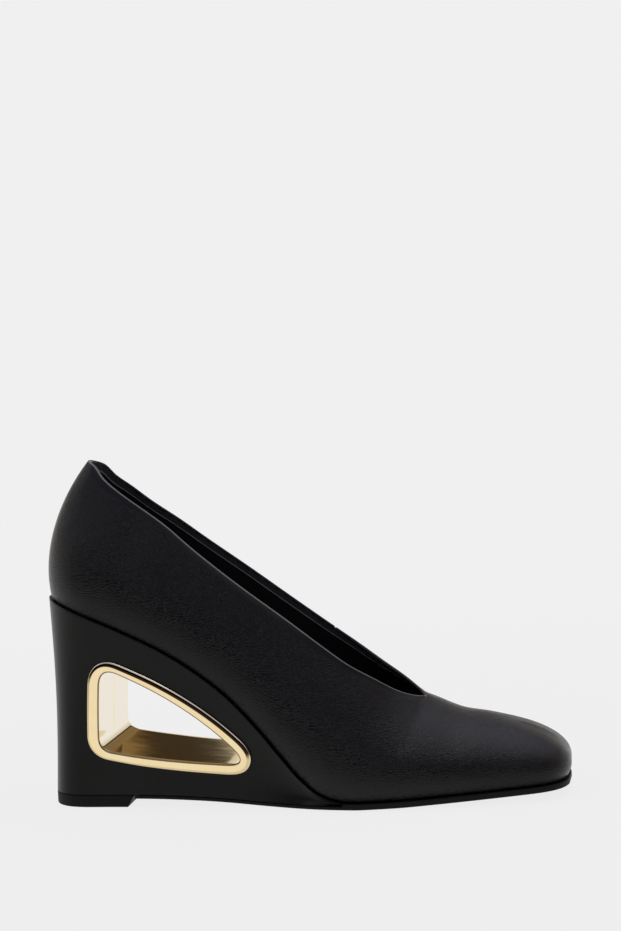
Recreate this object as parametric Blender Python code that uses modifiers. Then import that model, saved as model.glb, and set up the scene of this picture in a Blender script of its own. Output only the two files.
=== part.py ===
"""A woman's square-toed wedge pump for the right foot, built as a maker would assemble it.

Pieces: upper, insole, wedge heel, window frame, outsole and top piece. The shoe is laid out with its
back at x = 0, its toe towards +X, its lateral side at -Y and the floor at z = 0; a root empty then
carries everything so that the origin is under the middle of the shoe. Lengths are in metres.
"""

import math

import bmesh
import bpy
import numpy as np

# Overall sizes of the shoe
SHOE_LENGTH = 0.2254        # back of the wedge to the front of the outsole
BALL_WIDTH = 0.0760         # outsole across the ball of the foot
WEDGE_HEIGHT = 0.0844       # back of the seat above the top of the forepart sole
TOE_SPRING = 0.0041         # lift of the outsole's tip off the floor

# Outsole and top piece
WAIST_SOLE = 0.0015         # outsole thickness where it runs under the wedge
FORE_STEP = 0.0011          # the forepart of the outsole is thicker by this, in front of the wedge
TOP_PIECE_HEIGHT = 0.0051   # rubber block that the heel stands on
TOP_PIECE_LENGTH = 0.0360   # along the floor
TOP_PIECE_RAKE = 0.0029     # its front leans forward by this much
TOP_PIECE_ROUND = 0.0006    # softened lower edge
BALL_FLAT_START = 0.118     # the outsole lies on the floor between these two
BALL_FLAT_END = 0.136
SOLE_EDGE_ROUND = 0.0005    # softened lower edge of the outsole

# Wedge heel
WEDGE_LENGTH = 0.1300       # back to the thin front edge, where the seat meets the forepart
WEDGE_EDGE_ROUND = 0.0006   # softened rim under the upper
WEDGE_HOLLOW = 0.0012       # how far the flanks and back are drawn in half way up
HEEL_ROUND = 0.0270         # length over which the back of the seat's outline rounds off
HEEL_POWER = 2.25           # 2 is an ellipse, more is squarer
HEEL_TIP_ROUND = 0.0215     # the same two at the floor
HEEL_TIP_POWER = 2.72

# Toe of the outline
TOE_ROUND = 0.0210
TOE_POWER = 3.4

# Upper
UPPER_WALL = 0.0016         # leather and lining together
EDGE_TUCK = 0.0010          # the upper's lower edge lies this far inside the wedge's rim
FEATHER_INNER = 0.0004      # inside radius where the wall turns under
LASTING_MARGIN = 0.0060     # strip of the upper that lies under the insole
COLLAR_BACK = 0.0201        # back of the topline, forward of the back of the wedge
COLLAR_LENGTH = 0.1445      # back of the topline to the point of the throat
COLLAR_WIDTH = 0.0470       # widest distance between the two sides of the topline
COLLAR_BACK_ROUND = 0.0220
COLLAR_BACK_POWER = 2.0
THROAT_ROUND = 0.0354       # length over which the topline closes to its point
THROAT_POWER = 1.6
COLLAR_DEPTH = 0.0588       # back of the topline above the back of the seat
THROAT_DEPTH = 0.0385       # point of the throat above the top of the forepart sole
RIDGE_END = 0.0185          # end of the vamp's centre line, behind the front of the outline
RIDGE_END_DEPTH = 0.0223    # height of the vamp above the sole at that end
TOE_SWING = 0.0035          # the middle of the toe lies this far to the medial side

# Insole
INSOLE_THICKNESS = 0.0026
INSOLE_CLEARANCE = 0.0006   # from the insole to the wall beside it and the lasting margin below it

# Window through the wedge and its metal frame
FRAME_WALL = 0.0014         # wall of the tunnel
FRAME_FACE = 0.0034         # flat width of the bezel, from the opening outwards
FRAME_BEVEL = 0.0021        # width of the rounded outer edge beyond the flat
FRAME_STAND = 0.0016        # how far the flat face stands proud of the wedge
FRAME_LIP = 0.0007          # radius of the inner lip

GAP = 0.0003                # clearance between neighbouring pieces

# Plan of the seat and sole, from the heel to the toe: run is a share of SHOE_LENGTH, and lateral and
# medial are half widths as shares of half BALL_WIDTH.
OUTLINE_COLUMNS = ("run", "lateral", "medial")
OUTLINE_TABLE = (
    (0.000, 0.690, 0.690),
    (0.120, 0.735, 0.735),
    (0.200, 0.765, 0.755),
    (0.280, 0.765, 0.725),
    (0.350, 0.770, 0.705),
    (0.420, 0.810, 0.735),
    (0.500, 0.895, 0.825),
    (0.560, 0.960, 0.920),
    (0.620, 0.995, 0.985),
    (0.680, 0.985, 1.005),
    (0.740, 0.930, 0.985),
    (0.820, 0.835, 0.920),
    (0.910, 0.715, 0.830),
    (1.000, 0.590, 0.740),
)

# Height of the seat, the surface that the upper and insole stand on: run is a share of WEDGE_LENGTH and
# rise a share of WEDGE_HEIGHT above the top of the forepart sole.
SEAT_COLUMNS = ("run", "rise")
SEAT_TABLE = (
    (0.000, 1.000),
    (0.076, 0.957),
    (0.173, 0.899),
    (0.307, 0.809),
    (0.459, 0.692),
    (0.614, 0.529),
    (0.721, 0.368),
    (0.798, 0.231),
    (0.867, 0.112),
    (0.928, 0.038),
    (0.980, 0.010),
    (1.040, 0.001),
    (1.110, 0.000),
)

# Width of the wedge's foot and of the outsole as a share of the seat above them.
TAPER_COLUMNS = ("run", "share")
TAPER_TABLE = (
    (0.00, 0.925),
    (0.16, 0.890),
    (0.30, 0.890),
    (0.44, 0.960),
    (0.57, 1.000),
    (1.00, 1.000),
)

# Plan of the topline: run is a share of COLLAR_LENGTH, half widths are shares of half COLLAR_WIDTH.
COLLAR_COLUMNS = ("run", "lateral", "medial")
COLLAR_TABLE = (
    (0.00, 0.640, 0.640),
    (0.15, 0.660, 0.660),
    (0.25, 0.745, 0.745),
    (0.38, 0.850, 0.850),
    (0.54, 0.935, 0.935),
    (0.72, 1.000, 1.000),
    (1.00, 1.000, 1.000),
)

# Height of the topline on each side: run as above, heights as shares of the drop from the back of the
# topline to the point of the throat.
TOPLINE_COLUMNS = ("run", "lateral", "medial")
TOPLINE_TABLE = (
    (0.000, 1.000, 1.000),
    (0.030, 0.980, 0.979),
    (0.062, 0.928, 0.929),
    (0.105, 0.880, 0.882),
    (0.155, 0.830, 0.827),
    (0.252, 0.735, 0.731),
    (0.330, 0.643, 0.649),
    (0.460, 0.502, 0.518),
    (0.620, 0.341, 0.354),
    (0.715, 0.242, 0.259),
    (0.790, 0.166, 0.187),
    (0.860, 0.106, 0.122),
    (0.930, 0.044, 0.063),
    (1.000, 0.000, 0.000),
)

# Centre line of the vamp from the throat to RIDGE_END: run along it, and height as a share of its fall.
RIDGE_COLUMNS = ("run", "height")
RIDGE_TABLE = (
    (0.00, 1.00),
    (0.15, 0.745),
    (0.34, 0.485),
    (0.60, 0.310),
    (1.00, 0.00),
)

# How each rib of the upper leaves the sole and arrives at the topline or ridge. run is the rib's place
# along the sole as a share of SHOE_LENGTH. tuck is its outward lean at the bottom and lean its inward
# lean at the top, in degrees; foot_pull and top_pull are the lengths of those tangents as shares of the
# rib's height. fuller is added to the lean on the medial side and taken off it on the lateral side.
RIB_COLUMNS = ("run", "tuck", "foot_pull", "lean", "top_pull", "fuller")
RIB_TABLE = (
    (0.00, 8.6, 0.35, 30.5, 0.36, 0.0),
    (0.12, 24.0, 0.36, 26.0, 0.36, 0.0),
    (0.28, 26.0, 0.36, 20.0, 0.34, 0.0),
    (0.42, 26.0, 0.36, 24.0, 0.34, 0.0),
    (0.55, 30.0, 0.38, 46.0, 0.36, 3.0),
    (0.66, 32.0, 0.40, 82.0, 0.42, 9.0),
    (0.70, 31.0, 0.41, 90.0, 0.44, 9.0),
    (0.82, 26.0, 0.42, 90.0, 0.46, 7.0),
    (0.91, 26.0, 0.40, 90.0, 0.47, 8.0),
    (1.00, 32.0, 0.33, 90.0, 0.55, 0.0),
)

# Where the ribs stand: matching places on the sole and on the topline and ridge, as distances from the
# back over SHOE_LENGTH, and how many ribs lie between one row and the next.
RIB_ZONE_COLUMNS = ("name", "sole", "top", "ribs")
RIB_ZONES = (
    ("back", 0.0, COLLAR_BACK / SHOE_LENGTH, 9),
    ("heel side", HEEL_ROUND / SHOE_LENGTH, (COLLAR_BACK + COLLAR_BACK_ROUND) / SHOE_LENGTH, 10),
    ("throat", 0.510, (COLLAR_BACK + COLLAR_LENGTH - THROAT_ROUND) / SHOE_LENGTH, 9),
    ("vamp", 0.680, (COLLAR_BACK + COLLAR_LENGTH) / SHOE_LENGTH, 7),
    ("toe", 1.0 - TOE_ROUND / SHOE_LENGTH, 0.845, 9),
    ("front", 1.0, 1.0 - RIDGE_END / SHOE_LENGTH, 0),
)
WALK_STEPS = 60             # steps along each stretch of an edge when its length is measured
WALL_ROWS = 10              # rows of faces from the sole to the topline
FEATHER_ROWS = 3            # rows round the feather edge

# Opening of the window as seen from the side. Each row is a corner: its place from the back as a share
# of WEDGE_LENGTH, its height over the floor as a share of WEDGE_HEIGHT, and as shares of the edge that
# follows it, how much the corner's rounding takes off that edge and how far the edge bows outwards.
WINDOW_COLUMNS = ("run", "rise", "rounding", "bow")
WINDOW_CORNERS = (
    (0.1913, 0.2990, 0.0885, 0.0224),
    (0.6950, 0.2136, 0.1355, 0.0588),
    (0.2086, 0.7228, 0.2312, 0.0136),
)
# Widths of the bezel along those three edges, from their start to their end, as shares of FRAME_FACE and
# of FRAME_BEVEL.
FACE_SHARES = ((0.83, 0.97), (0.88, 0.56), (1.22, 1.29))
BEVEL_SHARES = ((0.52, 0.62), (1.05, 1.14), (0.60, 0.52))
WINDOW_EDGE_STEPS = 7
WINDOW_CORNER_STEPS = 7

PIECE_COLOURS = {
    "black leather": ((0.012, 0.012, 0.013), 0.45, 0.0),
    "wedge leather": ((0.010, 0.010, 0.011), 0.42, 0.0),
    "insole lining": ((0.020, 0.019, 0.018), 0.60, 0.0),
    "polished gold": ((0.83, 0.62, 0.33), 0.10, 1.0),
    "sole edge": ((0.014, 0.013, 0.012), 0.40, 0.0),
    "top piece rubber": ((0.016, 0.015, 0.015), 0.55, 0.0),
}


def column(table, columns, name):
    """One named column of a table as an array."""
    return np.array([row[columns.index(name)] for row in table], float)


def smooth_curve(xs, ys, at):
    """A smooth curve through points, by cubic Hermite pieces with limited slopes."""
    steps = np.diff(xs)
    rates = np.diff(ys) / steps
    slopes = np.zeros(len(xs))
    slopes[0], slopes[-1] = rates[0], rates[-1]
    for i in range(1, len(xs) - 1):
        if rates[i - 1] * rates[i] > 0:
            before = 2 * steps[i] + steps[i - 1]
            after = steps[i] + 2 * steps[i - 1]
            slopes[i] = (before + after) / (before / rates[i - 1] + after / rates[i])
    at = np.clip(at, xs[0], xs[-1])
    i = min(max(int(np.searchsorted(xs, at)) - 1, 0), len(xs) - 2)
    t = (at - xs[i]) / steps[i]
    return (
        (1 + 2 * t) * (1 - t) ** 2 * ys[i]
        + t * (1 - t) ** 2 * steps[i] * slopes[i]
        + t * t * (3 - 2 * t) * ys[i + 1]
        + t * t * (t - 1) * steps[i] * slopes[i + 1]
    )


def read_table(table, columns, name, at):
    """A smooth curve through one column of a table, read at a run."""
    return smooth_curve(column(table, columns, "run"), column(table, columns, name), at)


def ease(t):
    """A smooth step from 0 to 1."""
    t = min(max(t, 0.0), 1.0)
    return t * t * (3 - 2 * t)


class Outline:
    """A plan outline: half widths from a table, closed at each end by a superellipse."""

    def __init__(self, start, length, width, table, columns, back, front, tapered=False):
        """back and front are (round length, power). tapered follows TAPER_TABLE as well."""
        self.start, self.length, self.half = start, length, width / 2
        self.table, self.columns, self.tapered = table, columns, tapered
        self.back, self.front = back, front

    def closing(self, x):
        """Share of the full width that the rounded ends leave at x."""
        share = 1.0
        depths = (x - self.start, self.start + self.length - x)
        for depth, (reach, power) in zip(depths, (self.back, self.front)):
            t = min(max(1 - depth / reach, 0.0), 1.0)
            share *= (1 - t**power) ** (1 / power)
        return share

    def y(self, x, side):
        """Distance of the outline from the centre plane at x, signed: side is -1 lateral, +1 medial."""
        run = (x - self.start) / self.length
        lateral = -self.half * read_table(self.table, self.columns, "lateral", run)
        medial = self.half * read_table(self.table, self.columns, "medial", run)
        middle, half = (lateral + medial) / 2, (medial - lateral) / 2
        taper = read_table(TAPER_TABLE, TAPER_COLUMNS, "share", run) if self.tapered else 1.0
        return (middle + side * half * self.closing(x)) * taper

    def outward(self, x, side):
        """Unit plan normal of the outline at x, pointing away from the foot."""
        step = self.length * 1e-5
        low, high = max(x - step, self.start), min(x + step, self.start + self.length)
        along = np.array([high - low, self.y(high, side) - self.y(low, side)])
        normal = side * np.array([-along[1], along[0]])
        return normal / np.linalg.norm(normal)

    def end_steps(self, count, at_front):
        """x places round one end, evenly turned, from its outermost point inwards."""
        reach, power = self.front if at_front else self.back
        turns = np.linspace(0.0, math.pi / 2, count + 1)
        depth = reach * (1 - np.cos(turns) ** (2 / power))
        return self.start + self.length - depth if at_front else self.start + depth


SEAT_OUTLINE = Outline(
    0.0,
    SHOE_LENGTH,
    BALL_WIDTH,
    OUTLINE_TABLE,
    OUTLINE_COLUMNS,
    (HEEL_ROUND, HEEL_POWER),
    (TOE_ROUND, TOE_POWER),
)
FOOT_OUTLINE = Outline(
    0.0,
    SHOE_LENGTH,
    BALL_WIDTH,
    OUTLINE_TABLE,
    OUTLINE_COLUMNS,
    (HEEL_TIP_ROUND, HEEL_TIP_POWER),
    (TOE_ROUND, TOE_POWER),
    tapered=True,
)
COLLAR_OUTLINE = Outline(
    COLLAR_BACK,
    COLLAR_LENGTH,
    COLLAR_WIDTH,
    COLLAR_TABLE,
    COLLAR_COLUMNS,
    (COLLAR_BACK_ROUND, COLLAR_BACK_POWER),
    (THROAT_ROUND, THROAT_POWER),
)


def fore_sole():
    """Thickness of the outsole in front of the wedge."""
    return WAIST_SOLE + FORE_STEP


def sole_bottom(x):
    """Height of the outsole's underside: lifted under the wedge, flat at the ball, sprung at the toe."""
    lift = TOP_PIECE_HEIGHT - WAIST_SOLE
    under_wedge = lift * (1 - ease((x - TOP_PIECE_LENGTH) / (BALL_FLAT_START - TOP_PIECE_LENGTH)))
    ahead = max(x - BALL_FLAT_END, 0.0) / (SHOE_LENGTH - BALL_FLAT_END)
    return under_wedge + TOE_SPRING * ahead**1.15


def seat_height(x, lift=0.0):
    """Height of the surface that lies lift above the seat, measured square to it."""
    def bare(at):
        rise = read_table(SEAT_TABLE, SEAT_COLUMNS, "rise", at / WEDGE_LENGTH)
        return sole_bottom(at) + fore_sole() + WEDGE_HEIGHT * rise

    step = SHOE_LENGTH * 1e-3
    slope = (bare(x + step) - bare(x - step)) / (2 * step)
    return bare(x) + lift * math.hypot(1.0, slope)


def wedge_foot_height(x):
    """Height of the wedge's underside, just clear of the outsole and the top piece."""
    return sole_bottom(x) + WAIST_SOLE + GAP


def wedge_half_width(x, z, side):
    """Distance of the wedge's flank from the centre plane at a height, signed by side."""
    seat, foot = SEAT_OUTLINE.y(x, side), FOOT_OUTLINE.y(x, side)
    low, high = wedge_foot_height(x), seat_height(x)
    t = min(max((z - low) / (high - low), 0.0), 1.0)
    return foot + (seat - foot) * t - side * WEDGE_HOLLOW * math.sin(math.pi * t)


def topline_height(x, side):
    """Height of the collar's edge at a distance from the back of the shoe."""
    run = (x - COLLAR_BACK) / COLLAR_LENGTH
    name = "lateral" if side < 0 else "medial"
    share = read_table(TOPLINE_TABLE, TOPLINE_COLUMNS, name, run)
    back, throat = seat_height(0.0) + COLLAR_DEPTH, fore_sole() + THROAT_DEPTH
    return throat + (back - throat) * share


def ridge_point(x):
    """A point of the vamp's centre line, which swings to the medial side towards the toe."""
    start, end = COLLAR_BACK + COLLAR_LENGTH, SHOE_LENGTH - RIDGE_END
    run = (x - start) / (end - start)
    share = read_table(RIDGE_TABLE, RIDGE_COLUMNS, "height", run)
    low, high = seat_height(end) + RIDGE_END_DEPTH, fore_sole() + THROAT_DEPTH
    height = low + (high - low) * share
    return np.array([x, TOE_SWING * ease(run), height])


def ridge_slope(x):
    """Steepness of the vamp's centre line."""
    step = SHOE_LENGTH * 1e-3
    start, end = COLLAR_BACK + COLLAR_LENGTH, SHOE_LENGTH - RIDGE_END
    low, high = max(x - step, start), min(x + step, end)
    if high <= low:
        low, high = start, start + step
    return (ridge_point(high)[2] - ridge_point(low)[2]) / (high - low)


class Walk:
    """How far one has walked along an edge of the upper at each x, from the back to the front."""

    def __init__(self, points):
        points = np.array(points)
        self.x = points[:, 0]
        self.walked = np.concatenate([[0.0], np.cumsum(np.linalg.norm(np.diff(points, axis=0), axis=1))])

    def to(self, x):
        """Distance walked up to x."""
        return np.interp(x, self.x, self.walked)

    def back_to_x(self, walked):
        """The x reached after a distance."""
        return np.interp(walked, self.walked, self.x)


def fine_places(outline):
    """Close x places along an outline, closer still round its ends."""
    back = list(outline.end_steps(WALK_STEPS, at_front=False))
    front = list(outline.end_steps(WALK_STEPS, at_front=True))[::-1]
    return back + list(np.linspace(back[-1], front[0], WALK_STEPS))[1:-1] + front


def sole_walk():
    """The walk along the middle line of the sole's two sides."""
    outline = SEAT_OUTLINE
    return Walk([(x, (outline.y(x, 1) - outline.y(x, -1)) / 2, 0.0) for x in fine_places(outline)])


def top_walk():
    """The walk along the topline to the throat and on along the centre of the vamp."""
    outline = COLLAR_OUTLINE
    points = []
    for x in fine_places(outline):
        height = (topline_height(x, 1) + topline_height(x, -1)) / 2
        points.append((x, (outline.y(x, 1) - outline.y(x, -1)) / 2, height))
    vamp = np.linspace(COLLAR_BACK + COLLAR_LENGTH, SHOE_LENGTH - RIDGE_END, WALK_STEPS)[1:]
    return Walk(points + [(x, 0.0, ridge_point(x)[2]) for x in vamp])


def rib_places():
    """(sole x, top x, on the ridge) of each rib from the back of the heel to the front of the toe."""
    sole_edge, top_edge = sole_walk(), top_walk()
    sole_rows = sole_edge.to(SHOE_LENGTH * column(RIB_ZONES, RIB_ZONE_COLUMNS, "sole"))
    top_rows = top_edge.to(SHOE_LENGTH * column(RIB_ZONES, RIB_ZONE_COLUMNS, "top"))
    places = []
    for (name, sole, _, ribs), (_, next_sole, _, _) in zip(RIB_ZONES, RIB_ZONES[1:]):
        stations = SHOE_LENGTH * np.linspace(sole, next_sole, ribs + 1)
        if name == "back":
            stations = SEAT_OUTLINE.end_steps(ribs, at_front=False)
        if name == "toe":
            stations = SEAT_OUTLINE.end_steps(ribs, at_front=True)[::-1]
        places += [(x, name in ("vamp", "toe")) for x in stations[:-1]]
    places.append((SHOE_LENGTH, True))
    tops = [smooth_curve(sole_rows, top_rows, sole_edge.to(x)) for x, _ in places]
    return [(x, top_edge.back_to_x(top), on_ridge) for (x, on_ridge), top in zip(places, tops)]


def rib_points(sole_x, top_x, on_ridge, side):
    """Points of one rib, from the inner edge of the lasting margin up to the topline or the ridge."""
    rib = {
        name: read_table(RIB_TABLE, RIB_COLUMNS, name, sole_x / SHOE_LENGTH) for name in RIB_COLUMNS[1:]
    }
    tuck, lean = math.radians(rib["tuck"]), math.radians(rib["lean"] + side * rib["fuller"])
    out_x, out_y = SEAT_OUTLINE.outward(sole_x, side)
    out = np.array([out_x, out_y, 0.0])
    edge = np.array([sole_x, SEAT_OUTLINE.y(sole_x, side), 0.0]) - out * EDGE_TUCK

    def on_seat(inward):
        point = edge - out * inward
        point[2] = seat_height(point[0], GAP)
        return point

    turn_round = UPPER_WALL + FEATHER_INNER
    points = [on_seat(turn_round + LASTING_MARGIN), on_seat(turn_round + LASTING_MARGIN / 2)]
    up = np.array([0.0, 0.0, 1.0])
    turn = math.pi / 2 - tuck
    for i in range(FEATHER_ROWS):
        angle = turn * i / FEATHER_ROWS
        points.append(
            on_seat(turn_round * (1 - math.sin(angle))) + up * turn_round * (1 - math.cos(angle))
        )
    foot = on_seat(turn_round * (1 - math.sin(turn))) + up * turn_round * (1 - math.cos(turn))
    if on_ridge:
        top = ridge_point(top_x)
    else:
        top = np.array([top_x, COLLAR_OUTLINE.y(top_x, side), topline_height(top_x, side)])
    chord = top - foot
    rise = chord - out * (chord @ out)
    rise /= np.linalg.norm(rise)
    inward = -out + np.array([0.0, 0.0, -out_x * ridge_slope(top_x)])
    start = rise * math.cos(tuck) + out * math.sin(tuck)
    end = rise * math.cos(lean) + inward * math.sin(lean)
    end /= np.linalg.norm(end)
    length = np.linalg.norm(chord)
    controls = (foot, foot + start * length * rib["foot_pull"], top - end * length * rib["top_pull"], top)
    for i in range(WALL_ROWS + 1):
        t = i / WALL_ROWS
        weights = ((1 - t) ** 3, 3 * t * (1 - t) ** 2, 3 * t * t * (1 - t), t**3)
        points.append(sum(w * c for w, c in zip(weights, controls)))
    return points


def material(name):
    """The Principled material for one finish."""
    found = bpy.data.materials.get(name)
    if found:
        return found
    colour, roughness, metallic = PIECE_COLOURS[name]
    made = bpy.data.materials.new(name)
    made.use_nodes = True
    shader = made.node_tree.nodes["Principled BSDF"]
    shader.inputs["Base Color"].default_value = (*colour, 1.0)
    shader.inputs["Roughness"].default_value = roughness
    shader.inputs["Metallic"].default_value = metallic
    return made


def add_piece(name, points, faces, finish, collection, root):
    """A mesh object from points and faces, shaded smooth, under the root empty."""
    mesh = bpy.data.meshes.new(name)
    mesh.from_pydata([tuple(float(c) for c in p) for p in points], [], faces)
    builder = bmesh.new()
    builder.from_mesh(mesh)
    bmesh.ops.remove_doubles(builder, verts=builder.verts, dist=1e-6)
    bmesh.ops.recalc_face_normals(builder, faces=builder.faces)
    builder.to_mesh(mesh)
    builder.free()
    mesh.shade_smooth()
    mesh.set_sharp_from_angle(angle=math.radians(40))
    piece = bpy.data.objects.new(name, mesh)
    piece.parent = root
    collection.objects.link(piece)
    if finish:
        mesh.materials.append(material(finish))
    return piece


def ring_faces(rings, count):
    """Side faces between stacked closed rings of count points each."""
    faces = []
    for level in range(rings - 1):
        low, high = level * count, (level + 1) * count
        for i in range(count):
            j = (i + 1) % count
            faces.append((low + i, low + j, high + j, high + i))
    return faces


def ladder_faces(pairs, offset):
    """Faces that close a ring by joining its lateral points to the medial points at the same x."""
    faces = []
    for (a, b), (c, d) in zip(pairs, pairs[1:]):
        corners = [offset + i for i in (a, c, d, b)]
        faces.append(tuple(dict.fromkeys(corners)))
    return faces


def stacked_solid(name, stations, levels, finish, collection, root):
    """A solid of stacked rings. stations are x places; levels are functions of (x, side) that give a
    point. A station whose two sides meet, at a rounded end, becomes one point."""
    single = [np.allclose(levels[0](x, -1), levels[0](x, 1), atol=1e-7) for x in stations]
    keys = [(i, -1) for i in range(len(stations))]
    keys += [(i, 1) for i in reversed(range(len(stations))) if not single[i]]
    index = {key: n for n, key in enumerate(keys)}
    pairs = [(index[(i, -1)], index[(i, -1 if single[i] else 1)]) for i in range(len(stations))]
    points = [level(stations[i], side) for level in levels for i, side in keys]
    faces = ring_faces(len(levels), len(keys))
    faces += ladder_faces(pairs, 0)
    faces += ladder_faces(pairs, (len(levels) - 1) * len(keys))
    return add_piece(name, points, faces, finish, collection, root)


def outline_level(outline, height, inset=0.0):
    """A ring of a stacked solid: the outline drawn in by inset, at the height given for each x."""
    def level(x, side):
        out = outline.outward(x, side)
        at_x = x - out[0] * inset
        return np.array([at_x, outline.y(x, side) - out[1] * inset, height(at_x)])

    return level


def build_upper(collection, root):
    """The leather upper with its lasting margin: one open surface given its wall by Solidify."""
    places = rib_places()
    points, index = [], {}
    rows = 2 + FEATHER_ROWS + WALL_ROWS + 1
    last = len(places) - 1
    for side in (-1, 1):
        for i, (sole_x, top_x, on_ridge) in enumerate(places):
            for row, point in enumerate(rib_points(sole_x, top_x, on_ridge, side)):
                shared = i in (0, last) or (row == rows - 1 and (on_ridge or i == last))
                key = (i, row, 0 if shared else side)
                if key not in index:
                    index[key] = len(points)
                    points.append(point)
                index[(i, row, side)] = index[key]
    faces = []
    for side in (-1, 1):
        for i in range(last):
            for row in range(rows - 1):
                corners = [index[(i, row, side)], index[(i + 1, row, side)]]
                corners += [index[(i + 1, row + 1, side)], index[(i, row + 1, side)]]
                faces.append(tuple(corners if side < 0 else reversed(corners)))
    upper = add_piece("upper", points, faces, "black leather", collection, root)
    wall = upper.modifiers.new("wall", "SOLIDIFY")
    wall.thickness = UPPER_WALL
    wall.offset = -1.0
    wall.use_even_offset = True
    wall.use_quality_normals = True
    return upper


def sole_stations():
    """The ribs' places along the sole, which every piece under the upper shares."""
    return [sole_x for sole_x, _, _ in rib_places()]


def build_insole(collection, root):
    """The insole board and sock: it lies on the lasting margin, inside the wall."""
    inset = EDGE_TUCK + UPPER_WALL + INSOLE_CLEARANCE
    outline = SEAT_OUTLINE
    floor = GAP + UPPER_WALL + INSOLE_CLEARANCE
    low, high = floor, floor + INSOLE_THICKNESS
    corner = INSOLE_THICKNESS * 0.3
    levels = [
        outline_level(outline, lambda x: seat_height(x, low), inset),
        outline_level(outline, lambda x: seat_height(x, high - corner), inset),
        outline_level(outline, lambda x: seat_height(x, high), inset + corner),
    ]
    return stacked_solid("insole", sole_stations(), levels, "insole lining", collection, root)


def wedge_level(t, inset):
    """A ring of the wedge at share t of its height, drawn in by the hollow and by inset."""
    def level(x, side):
        out = SEAT_OUTLINE.outward(x, side)
        seat, foot = SEAT_OUTLINE.y(x, side), FOOT_OUTLINE.y(x, side)
        drawn = inset + WEDGE_HOLLOW * math.sin(math.pi * t)
        at_x = x - out[0] * drawn
        low, high = wedge_foot_height(at_x), seat_height(at_x)
        y = foot + (seat - foot) * t - out[1] * drawn
        return np.array([at_x, y, low + (high - low) * t])

    return level


def build_wedge(collection, root, cutters):
    """The covered wedge heel with the hole for the window frame."""
    stations = [x for x in sole_stations() if x < WEDGE_LENGTH - GAP] + [WEDGE_LENGTH]
    shoulder = WEDGE_EDGE_ROUND / WEDGE_HEIGHT
    levels = [wedge_level(0.0, 0.0)]
    levels += [wedge_level(t, 0.0) for t in (0.25, 0.5, 0.75, 1 - shoulder)]
    levels.append(wedge_level(1.0, WEDGE_EDGE_ROUND))
    wedge = stacked_solid("wedge", stations, levels, "wedge leather", collection, root)
    cutter = window_cutter(cutters, root)
    cut = wedge.modifiers.new("window", "BOOLEAN")
    cut.operation = "DIFFERENCE"
    cut.object = cutter
    return wedge


def bowed_edge(start, end, bow, steps):
    """Points along an edge that bows to its right by bow, as a parabola."""
    start, end = np.array(start), np.array(end)
    along = end - start
    right = np.array([along[1], -along[0]]) / np.linalg.norm(along)
    return [start + along * t + right * bow * 4 * t * (1 - t) for t in np.linspace(0, 1, steps + 1)]


def window_outline():
    """The opening as (x, z) points, anticlockwise seen from the lateral side, with rounded corners."""
    corners = [np.array((run * WEDGE_LENGTH, rise * WEDGE_HEIGHT)) for run, rise, _, _ in WINDOW_CORNERS]
    edges = [(start, end) for start, end in zip(corners, corners[1:] + corners[:1])]
    lengths = [np.linalg.norm(end - start) for start, end in edges]
    cuts = [row[WINDOW_COLUMNS.index("rounding")] * length for row, length in zip(WINDOW_CORNERS, lengths)]
    count = len(corners)
    trimmed = []
    for i, (start, end) in enumerate(edges):
        length = lengths[i]
        bow = WINDOW_CORNERS[i][WINDOW_COLUMNS.index("bow")] * length
        fine = np.array(bowed_edge(start, end, bow, 200))
        along = np.linspace(0, length, len(fine))
        ends = (cuts[i], length - cuts[(i + 1) % count])
        places = np.linspace(ends[0], ends[1], WINDOW_EDGE_STEPS + 1)
        trimmed.append([np.array([np.interp(p, along, fine[:, k]) for k in (0, 1)]) for p in places])
    outline = []
    for i, edge in enumerate(trimmed):
        outline += edge
        after = trimmed[(i + 1) % count]
        leaving, arriving = edge[-1] - edge[-2], after[0] - after[1]
        matrix = np.array([leaving, -arriving]).T
        reach = np.linalg.solve(matrix, after[0] - edge[-1])[0]
        corner = edge[-1] + leaving * reach
        for t in np.linspace(0, 1, WINDOW_CORNER_STEPS + 1)[1:-1]:
            outline.append((1 - t) ** 2 * edge[-1] + 2 * t * (1 - t) * corner + t * t * after[0])
    return np.array(outline)


def grown_outline(outline, distance):
    """The outline moved outwards, square to itself, by a distance or by one for each point."""
    along = np.roll(outline, -1, axis=0) - np.roll(outline, 1, axis=0)
    normals = np.stack([along[:, 1], -along[:, 0]], axis=1)
    normals /= np.linalg.norm(normals, axis=1, keepdims=True)
    return outline + normals * np.broadcast_to(distance, len(outline))[:, None]


def breadths(ends):
    """Shares at each point of the window's outline: straight along each edge, eased round each corner."""
    shares = []
    for (start, end), (after, _) in zip(ends, ends[1:] + ends[:1]):
        shares += list(np.linspace(start, end, WINDOW_EDGE_STEPS + 1))
        rounds = np.linspace(0, 1, WINDOW_CORNER_STEPS + 1)[1:-1]
        shares += [end + (after - end) * ease(t) for t in rounds]
    return np.array(shares)


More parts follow.
